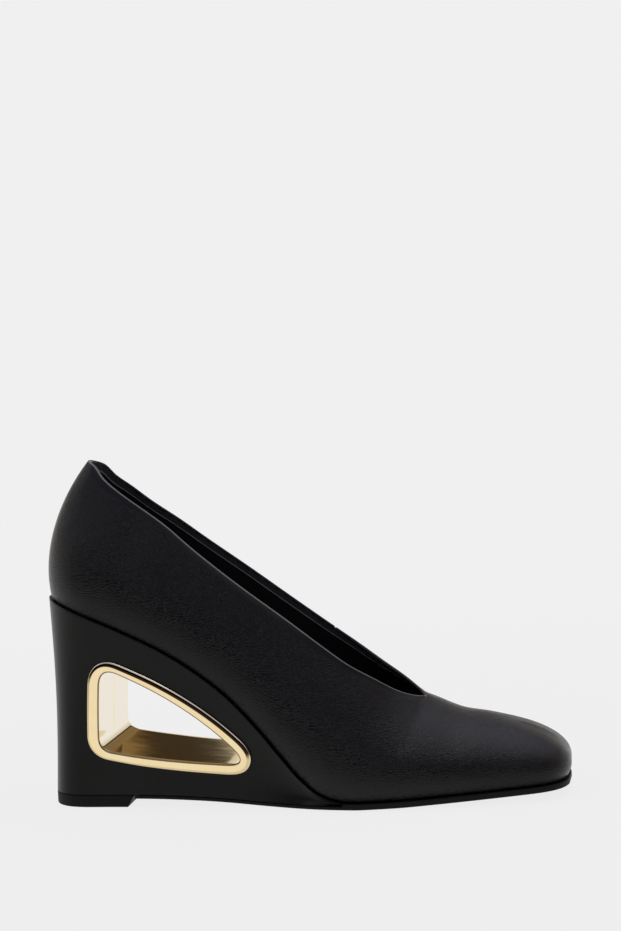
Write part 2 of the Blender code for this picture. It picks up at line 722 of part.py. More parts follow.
def window_cutter(cutters, root):
    """A bar with the section of the tunnel and its clearance, long enough to pass through the wedge."""
    section = grown_outline(window_outline(), FRAME_WALL + GAP)
    curve = bpy.data.curves.new("window_section", "CURVE")
    curve.dimensions = "2D"
    curve.fill_mode = "BOTH"
    curve.extrude = BALL_WIDTH
    spline = curve.splines.new("POLY")
    spline.points.add(len(section) - 1)
    for point, (x, z) in zip(spline.points, section):
        point.co = (x, z, 0.0, 1.0)
    spline.use_cyclic_u = True
    bar = bpy.data.objects.new("window_section", curve)
    bar.rotation_euler = (math.pi / 2, 0.0, 0.0)
    bar.parent = root
    cutters.objects.link(bar)
    bpy.context.view_layer.update()
    graph = bpy.context.evaluated_depsgraph_get()
    mesh = bpy.data.meshes.new_from_object(bar.evaluated_get(graph))
    builder = bmesh.new()
    builder.from_mesh(mesh)
    bmesh.ops.remove_doubles(builder, verts=builder.verts, dist=1e-6)
    bmesh.ops.recalc_face_normals(builder, faces=builder.faces)
    builder.to_mesh(mesh)
    builder.free()
    cutter = bpy.data.objects.new("window_cutter", mesh)
    cutter.parent = root
    cutter.rotation_euler = bar.rotation_euler
    cutter.hide_render = True
    cutter.display_type = "WIRE"
    cutters.objects.link(cutter)
    bpy.data.objects.remove(bar)
    return cutter


def frame_profile():
    """Half of the frame's section as (outward reach, height above the flank, share across the tunnel).

    It runs from the middle of the tunnel's inner face, round the lip, over the flat bezel and its
    rounded edge, and back under the flange to the tunnel's outer face. A reach is one number, or one
    for each point of the outline.
    """
    face, bevel = FRAME_FACE * breadths(FACE_SHARES), FRAME_BEVEL * breadths(BEVEL_SHARES)
    profile = [(0.0, 0.0, 0.0)]
    for angle in np.linspace(0.0, math.pi / 2, 4):
        reach = FRAME_LIP * (1 - math.cos(angle))
        profile.append((reach, FRAME_STAND - FRAME_LIP * (1 - math.sin(angle)), 1.0))
    for angle in np.linspace(0.0, math.pi / 2, 5):
        stand = GAP + (FRAME_STAND - GAP) * math.cos(angle)
        profile.append((face + bevel * math.sin(angle), stand, 1.0))
    profile[-1] = (face + bevel, GAP + FRAME_LIP / 2, 1.0)
    profile.append((face + bevel, GAP, 1.0))
    profile.append((FRAME_WALL, GAP, 1.0))
    profile.append((FRAME_WALL, 0.0, 0.0))
    return profile


def build_frame(collection, root):
    """The polished window frame: a tunnel through the wedge with a bezel lying on each flank."""
    opening = window_outline()
    profile = frame_profile()
    section = [(reach, stand, across, -1) for reach, stand, across in profile[:-1]]
    section += [(reach, stand, across, 1) for reach, stand, across in reversed(profile[1:])]
    section[0] = (*profile[0], -1)
    points = []
    for reach, stand, across, side in section:
        ring = grown_outline(opening, reach)
        for x, z in ring:
            flank = wedge_half_width(x, z, side) + side * stand
            points.append(np.array([x, across * flank, z]))
    count = len(opening)
    faces = ring_faces(len(section), count)
    last = (len(section) - 1) * count
    faces += [(last + i, last + (i + 1) % count, (i + 1) % count, i) for i in range(count)]
    return add_piece("window_frame", points, faces, "polished gold", collection, root)


def build_outsole(collection, root):
    """The thin outsole from the top piece to the toe, stepped down to let the wedge end above it."""
    outline = FOOT_OUTLINE
    start = TOP_PIECE_LENGTH + TOP_PIECE_RAKE + GAP
    step = WEDGE_LENGTH + GAP
    stations = [start] + [x for x in sole_stations() if start + GAP < x < step - GAP]
    stations += [step, step + GAP] + [x for x in sole_stations() if x > step + 2 * GAP]
    thickness = lambda x: WAIST_SOLE if x < step + GAP / 2 else fore_sole()
    levels = [
        outline_level(outline, sole_bottom, SOLE_EDGE_ROUND),
        outline_level(outline, lambda x: sole_bottom(x) + SOLE_EDGE_ROUND),
        outline_level(outline, lambda x: sole_bottom(x) + thickness(x)),
    ]
    return stacked_solid("outsole", stations, levels, "sole edge", collection, root)


def build_top_piece(collection, root):
    """The rubber top piece under the back of the wedge, with a raked front."""
    stations = [x for x in sole_stations() if x < TOP_PIECE_LENGTH - GAP] + [TOP_PIECE_LENGTH]

    def level(height, inset):
        ring = outline_level(FOOT_OUTLINE, lambda x: height, inset)

        def raked(x, side):
            point = ring(x, side)
            share = max(x - HEEL_ROUND, 0.0) / (TOP_PIECE_LENGTH - HEEL_ROUND)
            point[0] += TOP_PIECE_RAKE * share * height / TOP_PIECE_HEIGHT
            return point

        return raked

    levels = [level(0.0, TOP_PIECE_ROUND), level(TOP_PIECE_ROUND, 0.0), level(TOP_PIECE_HEIGHT, 0.0)]
    return stacked_solid("top_piece", stations, levels, "top piece rubber", collection, root)


def stand_on_origin(pieces, root):
    """Moves the root so that the origin lies under the middle of the shoe, on the floor."""
    bpy.context.view_layer.update()
    graph = bpy.context.evaluated_depsgraph_get()
    corners = []
    for piece in pieces:
        evaluated = piece.evaluated_get(graph)
        corners += [evaluated.matrix_world @ vertex.co for vertex in evaluated.data.vertices]
    places = np.array([tuple(corner) for corner in corners])
    low, high = places.min(axis=0), places.max(axis=0)
    root.location = (-(low[0] + high[0]) / 2, -(low[1] + high[1]) / 2, -low[2])
    bpy.context.view_layer.update()


def main():
    """Clears the scene and builds the shoe."""
    for old in list(bpy.data.objects):
        bpy.data.objects.remove(old)
    shoe = bpy.data.collections.new("wedge_pump")
    cutters = bpy.data.collections.new("cutters")
    bpy.context.scene.collection.children.link(shoe)
    bpy.context.scene.collection.children.link(cutters)
    root = bpy.data.objects.new("shoe_root", None)
    shoe.objects.link(root)
    pieces = [
        build_upper(shoe, root),
        build_insole(shoe, root),
        build_wedge(shoe, root, cutters),
        build_frame(shoe, root),
        build_outsole(shoe, root),
        build_top_piece(shoe, root),
    ]
    stand_on_origin(pieces, root)


main()
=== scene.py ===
"""A black leather wedge pump for the right foot, dressed and lit for a studio picture.

The pieces are worked out on the same named sizes as the solids that they stand for: an upper with its
collar and lining, an insole, a covered wedge heel, a polished window frame through the wedge, an outsole
and a top piece. Shapes are laid out with the back of the shoe at x = 0, the toe towards +X, the lateral
side at -Y and the floor at z = 0, and are moved to the row frame when their meshes are made. Lengths are
in metres.
"""

import logging
import math
from dataclasses import dataclass, field
from enum import Enum
from typing import Any

import bmesh
import bpy
import numpy as np
from mathutils import Matrix, Vector


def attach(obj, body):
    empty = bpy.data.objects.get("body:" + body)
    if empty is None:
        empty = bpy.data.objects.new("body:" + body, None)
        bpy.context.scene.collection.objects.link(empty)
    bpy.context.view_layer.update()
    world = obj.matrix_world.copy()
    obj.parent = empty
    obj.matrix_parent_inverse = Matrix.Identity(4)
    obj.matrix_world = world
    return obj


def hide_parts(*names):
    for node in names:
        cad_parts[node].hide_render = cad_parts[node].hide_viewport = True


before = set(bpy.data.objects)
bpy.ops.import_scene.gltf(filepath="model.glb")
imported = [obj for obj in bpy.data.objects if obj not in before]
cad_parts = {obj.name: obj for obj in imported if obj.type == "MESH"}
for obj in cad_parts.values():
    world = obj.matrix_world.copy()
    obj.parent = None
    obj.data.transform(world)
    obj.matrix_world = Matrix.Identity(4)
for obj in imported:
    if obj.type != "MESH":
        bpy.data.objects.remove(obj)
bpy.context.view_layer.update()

Array = np.ndarray
Number = float | Array
Colour = tuple[float, float, float]
Stops = tuple[tuple[float, Colour], ...]
LOG = logging.getLogger("wedge_pump")
WELD = 1e-6
SLIVER = 1e-7
RING_STEP = 0.0016
FAR_FROM_RIM = 0.05
PAPER_TONE = 0.871


class Side(Enum):
    """The two sides of the shoe, by the sign of their y."""

    LATERAL = -1
    MEDIAL = 1


@dataclass(frozen=True)
class Link:
    """A shader socket that takes Python's operators on numbers; each one adds its Math node."""

    shade: "Shade"
    socket: Any

    def math(self, operation: str, *others: Any) -> "Link":
        """The Math node of an operation on this link and others."""
        return self.shade.node("ShaderNodeMath", {"operation": operation}, dict(enumerate((self, *others))))

    def __add__(self, other: Any) -> "Link":
        """This plus other, either way round."""
        return self.math("ADD", other)

    __radd__ = __add__

    def __sub__(self, other: Any) -> "Link":
        """This minus other."""
        return self.math("SUBTRACT", other)

    def __rsub__(self, other: Any) -> "Link":
        """Other minus this."""
        return self.shade.node("ShaderNodeMath", {"operation": "SUBTRACT"}, {0: other, 1: self})

    def __mul__(self, other: Any) -> "Link":
        """This times other, either way round."""
        return self.math("MULTIPLY", other)

    __rmul__ = __mul__

    def __pow__(self, other: Any) -> "Link":
        """This to the power of other."""
        return self.math("POWER", other)

    def ease(self, low: float, high: float) -> "Link":
        """A smooth step: 0 where this is at low, 1 where it is at high.

        Args:
            low: the value that gives 0.
            high: the value that gives 1; it may be below low.

        Returns:
            The stepped value.
        """
        first, last = (0.0, 1.0) if high > low else (1.0, 0.0)
        span = {"From Min": min(low, high), "From Max": max(low, high), "To Min": first, "To Max": last}
        settings = {"interpolation_type": "SMOOTHSTEP"}
        return self.shade.node("ShaderNodeMapRange", settings, {"Value": self, **span})


class Shade:
    """The node tree of one material or of the world, built node by node."""

    def __init__(self, tree: bpy.types.NodeTree) -> None:
        """Empties the tree.

        Args:
            tree: the node tree to build in.
        """
        self.tree = tree
        tree.nodes.clear()

    def node(
        self,
        kind: str,
        settings: dict[str, Any] | None = None,
        sockets: dict[str | int, Any] | None = None,
        output: str | int = 0,
    ) -> Link:
        """Adds a node: its settings are set first, then its sockets' values or links.

        Args:
            kind: the node's type.
            settings: its own properties, such as a Math node's operation; stops is a ramp's stops.
            sockets: values or links by socket name or number.
            output: which output to return.

        Returns:
            The chosen output as a link.
        """
        made = self.tree.nodes.new(kind)
        settings = dict(settings or {})
        stops = settings.pop("stops", ())
        for name, value in settings.items():
            setattr(made, name, value)
        for i, (place, colour) in enumerate(stops):
            stop = made.color_ramp.elements[i] if i < 2 else made.color_ramp.elements.new(place)
            stop.position, stop.color = place, (*colour, 1.0)
        for name, value in (sockets or {}).items():
            if isinstance(value, Link):
                self.tree.links.new(value.socket, made.inputs[name])
            else:
                made.inputs[name].default_value = value
        return Link(self, made.outputs[output] if len(made.outputs) else None)

    def coordinates(self, stretch: tuple[float, float, float] = (1.0, 1.0, 1.0)) -> Link:
        """Object coordinates, scaled along each axis by stretch."""
        place = self.node("ShaderNodeTexCoord", output="Object")
        if stretch == (1.0, 1.0, 1.0):
            return place
        return self.node("ShaderNodeMapping", None, {"Vector": place, "Scale": stretch})

    def axis(self, vector: Link, name: str) -> Link:
        """One coordinate of a vector, by its letter."""
        return self.node("ShaderNodeSeparateXYZ", None, {"Vector": vector}, name)

    def mark(self, name: str) -> Link:
        """The piece's own attribute of that name, as a number."""
        return self.node("ShaderNodeAttribute", {"attribute_name": name}, None, "Fac")

    def noise(self, place: Link, size: float, detail: float = 2.0, rough: float = 0.5) -> Link:
        """Soft noise with features of about that size in metres."""
        sockets = {"Vector": place, "Scale": 1.0 / size, "Detail": detail, "Roughness": rough}
        return self.node("ShaderNodeTexNoise", None, sockets, 0)

    def blend(self, share: Any, low: Any, high: Any) -> Link:
        """A colour between low at 0 and high at 1."""
        low = (*low, 1.0) if isinstance(low, tuple) else low
        high = (*high, 1.0) if isinstance(high, tuple) else high
        settings = {"data_type": "RGBA", "clamp_factor": True}
        return self.node("ShaderNodeMix", settings, {0: share, 6: low, 7: high}, 2)

    def surface(
        self, colour: Link, roughness: Link, height: Link, depth: float, more: dict[str, float]
    ) -> None:
        """Ends the tree in one Principled shader.

        Args:
            colour: its base colour.
            roughness: its roughness.
            height: the relief, as a share of depth.
            depth: how deep the relief is.
            more: constants for other sockets.
        """
        bump = self.node("ShaderNodeBump", None, {"Strength": 1.0, "Distance": depth, "Height": height})
        sockets = {"Base Color": colour, "Roughness": roughness, "Normal": bump, **more}
        shader = self.node("ShaderNodeBsdfPrincipled", None, sockets)
        self.node("ShaderNodeOutputMaterial", None, {"Surface": shader})


@dataclass(frozen=True)
class Finish:
    """The base of every finish: a named material that each kind of finish paints its own way."""

    name: str

    def make(self) -> bpy.types.Material:
        """The material, made for one piece.

        Returns:
            The Blender material with its nodes.
        """
        made = bpy.data.materials.new(f"{self.name}_finish")
        made.use_nodes = True
        self.paint(Shade(made.node_tree))
        return made

    def paint(self, shade: Shade) -> None:
        """Builds the nodes; each kind of finish has its own."""
        raise NotImplementedError


@dataclass(frozen=True)
class LeatherFinish(Finish):
    """Dyed and waxed calf leather: small pebbles parted by creases, in a soft satin."""

    colour: Colour = (0.0013, 0.0012, 0.0016)
    worn: Colour = (0.0030, 0.0028, 0.0033)
    roughness: float = 0.27
    pebble: float = 0.00105
    depth: float = 0.00014
    front_share: float = 1.35
    specular: float = 0.22
    lined: bool = False
    lining: Colour = (0.0110, 0.0100, 0.0110)
    facing: Colour = (0.0340, 0.0340, 0.0400)
    # painted highlight colour for the line along the facing's lower edge
    facing_highlight: Colour = (0.30, 0.30, 0.32)
    # painted highlight colour for the collar's folded edge on the lateral side
    rim_highlight: Colour = (0.135, 0.132, 0.130)
    drawn_out: tuple[float, float, float] = (0.92, 1.0, 1.06)
    wrinkled: tuple[float, float, float] = (0.40, 1.0, 1.6)
    wrinkle: float = 0.0056
    bend: float = 0.0011
    patch: float = 0.018

    def paint(self, shade: Shade) -> None:
        """Pebbles are rounded Voronoi cells on wandering coordinates, drawn out a little lengthways.

        Height = cells + fine noise + broad noise + long faint wrinkles. Towards the toe, where the
        leather is pulled over the last, the first three change to front_share of their height and the
        wrinkles fade. Roughness and colour drift in soft patches.
        """
        place = shade.coordinates()
        drawn = shade.coordinates(self.drawn_out)
        wander = shade.noise(drawn, self.pebble * 3.0, 2.0)
        shaken = shade.node("ShaderNodeTexNoise", None, {"Vector": drawn, "Scale": 420.0}, 1)
        moved = {0: shaken, 1: (self.bend,) * 3, 2: drawn}
        bent = shade.node("ShaderNodeVectorMath", {"operation": "MULTIPLY_ADD"}, moved)
        spacing = {"Vector": bent, "Scale": 1.0 / self.pebble}
        cells = shade.node("ShaderNodeTexVoronoi", {"feature": "DISTANCE_TO_EDGE"}, spacing)
        pillow = (cells * 2.6).math("MINIMUM", 1.0) ** 0.6
        fine = shade.noise(place, self.pebble * 0.28, 3.0, 0.6)
        x = shade.axis(place, "X")
        strength = 1.0 - x.ease(-0.030, 0.050) * (1.0 - self.front_share)
        wrinkles = shade.noise(shade.coordinates(self.wrinkled), self.wrinkle, 3.0, 0.6)
        creased = x.ease(0.010, -0.070) * 0.80 + 0.15
        height = (pillow * 0.66 + fine * 0.16 + wander * 0.12) * strength + wrinkles * creased
        patches = shade.noise(place, self.patch, 2.0)
        roughness = self.roughness + (patches - 0.5) * 0.08 + (fine - 0.5) * 0.10 - pillow * 0.04
        colour = shade.blend(patches.ease(0.35, 0.75) * 0.5 + pillow * 0.3, self.colour, self.worn)
        if self.lined:
            colour, roughness, height = self.paint_collar(shade, colour, roughness, height)
        shade.surface(colour, roughness, height, self.depth, {"Specular IOR Level": self.specular})

    def paint_collar(
        self, shade: Shade, colour: Link, roughness: Link, height: Link
    ) -> tuple[Link, Link, Link]:
        """Adds the lining, its facing strip edged with a painted highlight line, and the collar's folded
        edge.

        The grain is pressed flat at the edge and fainter inside. A painted highlight lies along the folded
        edge, on the lateral side alone.

        Args:
            shade: the material's node tree.
            colour: the leather's colour.
            roughness: its roughness.
            height: its relief.

        Returns:
            The three with the collar added.
        """
        inside = shade.mark("lining")
        edge = shade.mark("rim")
        height = height * (1.0 - inside * 0.6) * (edge.ease(0.0006, 0.0040) * 0.93 + 0.07)
        roughness = roughness + inside * 0.12
        facing = edge.ease(0.0036, 0.0032)
        inner = shade.blend(facing, self.lining, self.facing)
        # painted highlight line where the facing steps down to the lining
        inner = shade.blend(edge.ease(0.0027, 0.0031) * facing, inner, self.facing_highlight)
        colour = shade.blend(inside, colour, inner)
        # painted highlight along the collar's folded edge, lateral side only
        lateral = shade.axis(shade.coordinates(), "Y").ease(0.006, -0.004)
        colour = shade.blend(edge.ease(0.0003, 0.0) * lateral, colour, self.rim_highlight)
        return colour, roughness, height


@dataclass(frozen=True)
class GoldFinish(Finish):
    """Polished pale gold plate with the faint waviness and hairlines of a buffed casting."""

    colour: Colour = (1.0, 0.825, 0.505)
    deep: Colour = (0.985, 0.785, 0.440)
    # painted highlight colour, mixed in where the frame's pale mark is set
    pale: Colour = (0.97, 0.91, 0.78)
    # painted dark reflection colour, mixed in where the frame's dark mark is set
    dark: Colour = (0.030, 0.016, 0.008)
    roughness: float = 0.045
    depth: float = 0.00003

    def paint(self, shade: Shade) -> None:
        """Soft waves lift the plate, hairlines of drawn-out noise roughen it, and its tone drifts.

        Where the frame marks it, painted dark reflections and painted highlights are mixed into its colour.
        """
        place = shade.coordinates()
        waves = shade.noise(place, 0.014, 1.0)
        hairs = shade.noise(shade.coordinates((1.0, 1.0, 16.0)), 0.0022, 4.0, 0.7)
        haze = shade.noise(place, 0.009, 2.0, 0.5)
        roughness = self.roughness + (haze - 0.5) * 0.02 + (hairs - 0.5) * 0.012
        colour = shade.blend(haze.ease(0.30, 0.75), self.colour, self.deep)
        # painted highlights and painted dark reflections from the frame's pale and dark marks
        colour = shade.blend(shade.mark("pale") * 0.8, colour, self.pale)
        colour = shade.blend(shade.mark("dark"), colour, self.dark)
        shade.surface(colour, roughness, waves + hairs * 0.004, self.depth, {"Metallic": 1.0})


@dataclass(frozen=True)
class EdgeFinish(Finish):
    """Matt black rubber or inked board: a fine even tooth with rubbed, slightly paler patches."""

    colour: Colour = (0.0035, 0.0033, 0.0032)
    rubbed: Colour = (0.0085, 0.0078, 0.0068)
    roughness: float = 0.55
    tooth: float = 0.00045
    depth: float = 0.00003
    specular: float = 0.14

    def paint(self, shade: Shade) -> None:
        """Height is fine noise; colour and roughness drift with broad noise and stay dark."""
        place = shade.coordinates()
        tooth = shade.noise(place, self.tooth, 3.0, 0.65)
        broad = shade.noise(place, 0.011, 3.0, 0.6)
        grain = shade.noise(shade.coordinates((0.4, 1.0, 4.0)), 0.0012, 2.0)
        roughness = self.roughness + (broad - 0.5) * 0.16 + (tooth - 0.5) * 0.10
        colour = shade.blend(broad.ease(0.40, 0.80) * 0.6 + tooth * 0.2, self.colour, self.rubbed)
        height = tooth + grain * 0.5
        shade.surface(colour, roughness, height, self.depth, {"Specular IOR Level": self.specular})


@dataclass(frozen=True)
class FloorFinish(Finish):
    """Pale seamless paper that glows evenly far off and takes a faint shadow under the shoe."""

    paper: float = 0.90
    shadow_share: float = 0.07
    reach: float = 0.75

    def paint(self, shade: Shade) -> None:
        """Mixes a plain diffuse near the middle into an even glow further out."""
        place = shade.coordinates()
        away = shade.node("ShaderNodeVectorMath", {"operation": "LENGTH"}, {0: place}, "Value")
        share = away.ease(self.reach, 0.12) * self.shadow_share
        tone, paper = ((value, value, value, 1.0) for value in (PAPER_TONE, self.paper))
        glow = shade.node("ShaderNodeEmission", None, {"Color": tone, "Strength": 1.0})
        paper = shade.node("ShaderNodeBsdfDiffuse", None, {"Color": paper})
        mixed = shade.node("ShaderNodeMixShader", None, {0: share, 1: glow, 2: paper})
        shade.node("ShaderNodeOutputMaterial", None, {"Surface": mixed})


def smooth_curve(xs: Array, ys: Array, at: Number) -> Array:
    """A smooth curve through points that never overshoots them.

    Each stretch is a cubic with slopes that are the weighted harmonic mean of the rates on both sides,
    or 0 at a turning point.

    Args:
        xs: rising places of the points.
        ys: their values.
        at: where to read the curve.

    Returns:
        The values at those places.
    """
    steps = np.diff(xs)
    rates = np.diff(ys) / steps
    before = 2 * steps[1:] + steps[:-1]
    after = steps[1:] + 2 * steps[:-1]
    steady = rates[:-1] * rates[1:] > 0
    first, second = np.where(steady, rates[:-1], 1.0), np.where(steady, rates[1:], 1.0)
    inner = np.where(steady, (before + after) / (before / first + after / second), 0.0)
    slopes = np.concatenate([rates[:1], inner, rates[-1:]])
    at = np.clip(np.asarray(at, float), xs[0], xs[-1])
    i = np.clip(np.searchsorted(xs, at) - 1, 0, len(xs) - 2)
    t = (at - xs[i]) / steps[i]
    return (
        (1 + 2 * t) * (1 - t) ** 2 * ys[i]
        + t * (1 - t) ** 2 * steps[i] * slopes[i]
        + t * t * (3 - 2 * t) * ys[i + 1]
        + t * t * (t - 1) * steps[i] * slopes[i + 1]
    )


def ease(t: Number) -> Array:
    """A smooth step from 0 to 1: 3 t squared minus 2 t cubed."""
    t = np.clip(t, 0.0, 1.0)
    return t * t * (3 - 2 * t)


def unit(vectors: Array) -> Array:
    """Vectors of length 1 along the last axis."""
    return vectors / np.maximum(np.linalg.norm(vectors, axis=-1, keepdims=True), 1e-12)


def points_of(x: Number, y: Number, z: Number) -> Array:
    """Points from three arrays of coordinates, spread to a common shape."""
    return np.stack(np.broadcast_arrays(np.asarray(x, float), y, z), axis=-1)


@dataclass(frozen=True)
class ShapeTable:
    """A table of shares whose first column, run, goes from the back forward."""

    columns: tuple[str, ...]
    rows: tuple[tuple[float, ...], ...]

    def column(self, name: str) -> Array:
        """One named column."""
        return np.array([row[self.columns.index(name)] for row in self.rows])

    def read(self, name: str, at: Number) -> Array:
        """The smooth curve through a column, read at a run."""
        return smooth_curve(self.column("run"), self.column(name), at)


@dataclass(frozen=True)
class Outline:
    """A plan outline: half widths from a table, closed at each end by a superellipse."""

    start: float
    length: float
    width: float
    table: ShapeTable
    back: tuple[float, float]
    front: tuple[float, float]
    taper: ShapeTable | None = None

    def closing(self, x: Array) -> Array:
        """Share of the full width at x: the product over both ends of (1 - t^p)^(1/p)."""
        share = np.ones_like(x)
        depths = (x - self.start, self.start + self.length - x)
        for depth, (reach, power) in zip(depths, (self.back, self.front)):
            t = np.clip(1 - depth / reach, 0.0, 1.0)
            share = share * (1 - t**power) ** (1 / power)
        return share

    def y(self, x: Number, side: Number) -> Array:
        """Distance from the centre plane, signed: the middle line plus side times the half width."""
        x = np.asarray(x, float)
        run = (x - self.start) / self.length
        lateral = -self.width / 2 * self.table.read("lateral", run)
        medial = self.width / 2 * self.table.read("medial", run)
        taper = self.taper.read("share", run) if self.taper else 1.0
        middle, half = (lateral + medial) / 2, (medial - lateral) / 2
        return (middle + side * half * self.closing(x)) * taper

    def outward(self, x: Number, side: Number) -> Array:
        """Unit plan normals, pointing away from the foot: the tangent turned by a right angle."""
        x = np.asarray(x, float)
        step = self.length * 1e-5
        low, high = np.maximum(x - step, self.start), np.minimum(x + step, self.start + self.length)
        across = self.y(high, side) - self.y(low, side)
        return unit(points_of(-side * across, side * (high - low), 0.0))

    def end_steps(self, count: int, at_front: bool) -> Array:
        """Places round one end, evenly turned, from its outermost point inwards."""
        reach, power = self.front if at_front else self.back
        depth = reach * (1 - np.cos(np.linspace(0.0, math.pi / 2, count + 1)) ** (2 / power))
        return self.start + self.length - depth if at_front else self.start + depth


PLAN = ShapeTable(
    ("run", "lateral", "medial"),
    (
        (0.000, 0.690, 0.690),
        (0.120, 0.735, 0.735),
        (0.200, 0.765, 0.755),
        (0.280, 0.765, 0.725),
        (0.350, 0.770, 0.705),
        (0.420, 0.810, 0.735),
        (0.500, 0.895, 0.825),
        (0.560, 0.960, 0.920),
        (0.620, 0.995, 0.985),
        (0.680, 0.985, 1.005),
        (0.740, 0.930, 0.985),
        (0.820, 0.835, 0.920),
        (0.910, 0.715, 0.830),
        (1.000, 0.590, 0.740),
    ),
)
SEAT = ShapeTable(
    ("run", "rise"),
    (
        (0.000, 1.000),
        (0.076, 0.957),
        (0.173, 0.899),
        (0.307, 0.809),
        (0.459, 0.692),
        (0.614, 0.529),
        (0.721, 0.368),
        (0.798, 0.231),
        (0.867, 0.112),
        (0.928, 0.038),
        (0.980, 0.010),
        (1.040, 0.001),
        (1.110, 0.000),
    ),
)
TAPER = ShapeTable(
    ("run", "share"),
    ((0.00, 0.925), (0.16, 0.890), (0.30, 0.890), (0.44, 0.960), (0.57, 1.000), (1.00, 1.000)),
)


@dataclass(frozen=True)
class ShoeForm:
    """The sizes and curves that several pieces share: plan, sole line and seat line."""

    length: float = 0.2254
    ball_width: float = 0.0760
    wedge_height: float = 0.0844
    wedge_length: float = 0.1300
    toe_spring: float = 0.0041
    waist_sole: float = 0.0015
    fore_step: float = 0.0011
    top_piece_height: float = 0.0051
    top_piece_length: float = 0.0360
    ball_flat_start: float = 0.118
    ball_flat_end: float = 0.136
    heel_round: tuple[float, float] = (0.0270, 2.25)
    heel_tip_round: tuple[float, float] = (0.0215, 2.72)
    toe_round: tuple[float, float] = (0.0210, 3.4)
    hollow: float = 0.0012
    gap: float = 0.0003
    shift: tuple[float, float, float] = (-0.11276, -0.00003, 0.0)

    @property
    def plan(self) -> Outline:
        """The outline of the seat and of the forepart."""
        return Outline(0.0, self.length, self.ball_width, PLAN, self.heel_round, self.toe_round)

    @property
    def foot_plan(self) -> Outline:
        """The outline at the floor, drawn in under the heel."""
        return Outline(
            0.0, self.length, self.ball_width, PLAN, self.heel_tip_round, self.toe_round, TAPER
        )

    @property
    def fore_sole(self) -> float:
        """Thickness of the outsole in front of the wedge."""
        return self.waist_sole + self.fore_step

    def sole_bottom(self, x: Number) -> Array:
        """Underside of the outsole: eased down under the wedge, flat at the ball, sprung at the toe."""
        x = np.asarray(x, float)
        lift = self.top_piece_height - self.waist_sole
        reach = self.ball_flat_start - self.top_piece_length
        ahead = np.maximum(x - self.ball_flat_end, 0.0) / (self.length - self.ball_flat_end)
        return lift * (1 - ease((x - self.top_piece_length) / reach)) + self.toe_spring * ahead**1.15

    def seat_bare(self, x: Number) -> Array:
        """Height of the seat: sole plus the seat table's share of the wedge's height."""
        rise = SEAT.read("rise", np.asarray(x, float) / self.wedge_length)
        return self.sole_bottom(x) + self.fore_sole + self.wedge_height * rise

    def seat_height(self, x: Number, lift: Number = 0.0) -> Array:
        """Height of the surface that lies lift above the seat, measured square to it."""
        step = self.length * 1e-3
        slope = (self.seat_bare(np.add(x, step)) - self.seat_bare(np.subtract(x, step))) / (2 * step)
        return self.seat_bare(x) + lift * np.hypot(1.0, slope)

    def wedge_foot_height(self, x: Number) -> Array:
        """Height of the wedge's underside."""
        return self.sole_bottom(x) + self.waist_sole + self.gap

    def flank(self, x: Number, z: Number, side: Number) -> Array:
        """Signed y of the wedge's flank at a height: foot to seat in a line, drawn in by a half sine."""
        seat, foot = self.plan.y(x, side), self.foot_plan.y(x, side)
        low, high = self.wedge_foot_height(x), self.seat_height(x)
        t = np.clip((z - low) / (high - low), 0.0, 1.0)
        return foot + (seat - foot) * t - side * self.hollow * np.sin(math.pi * t)


FORM = ShoeForm()


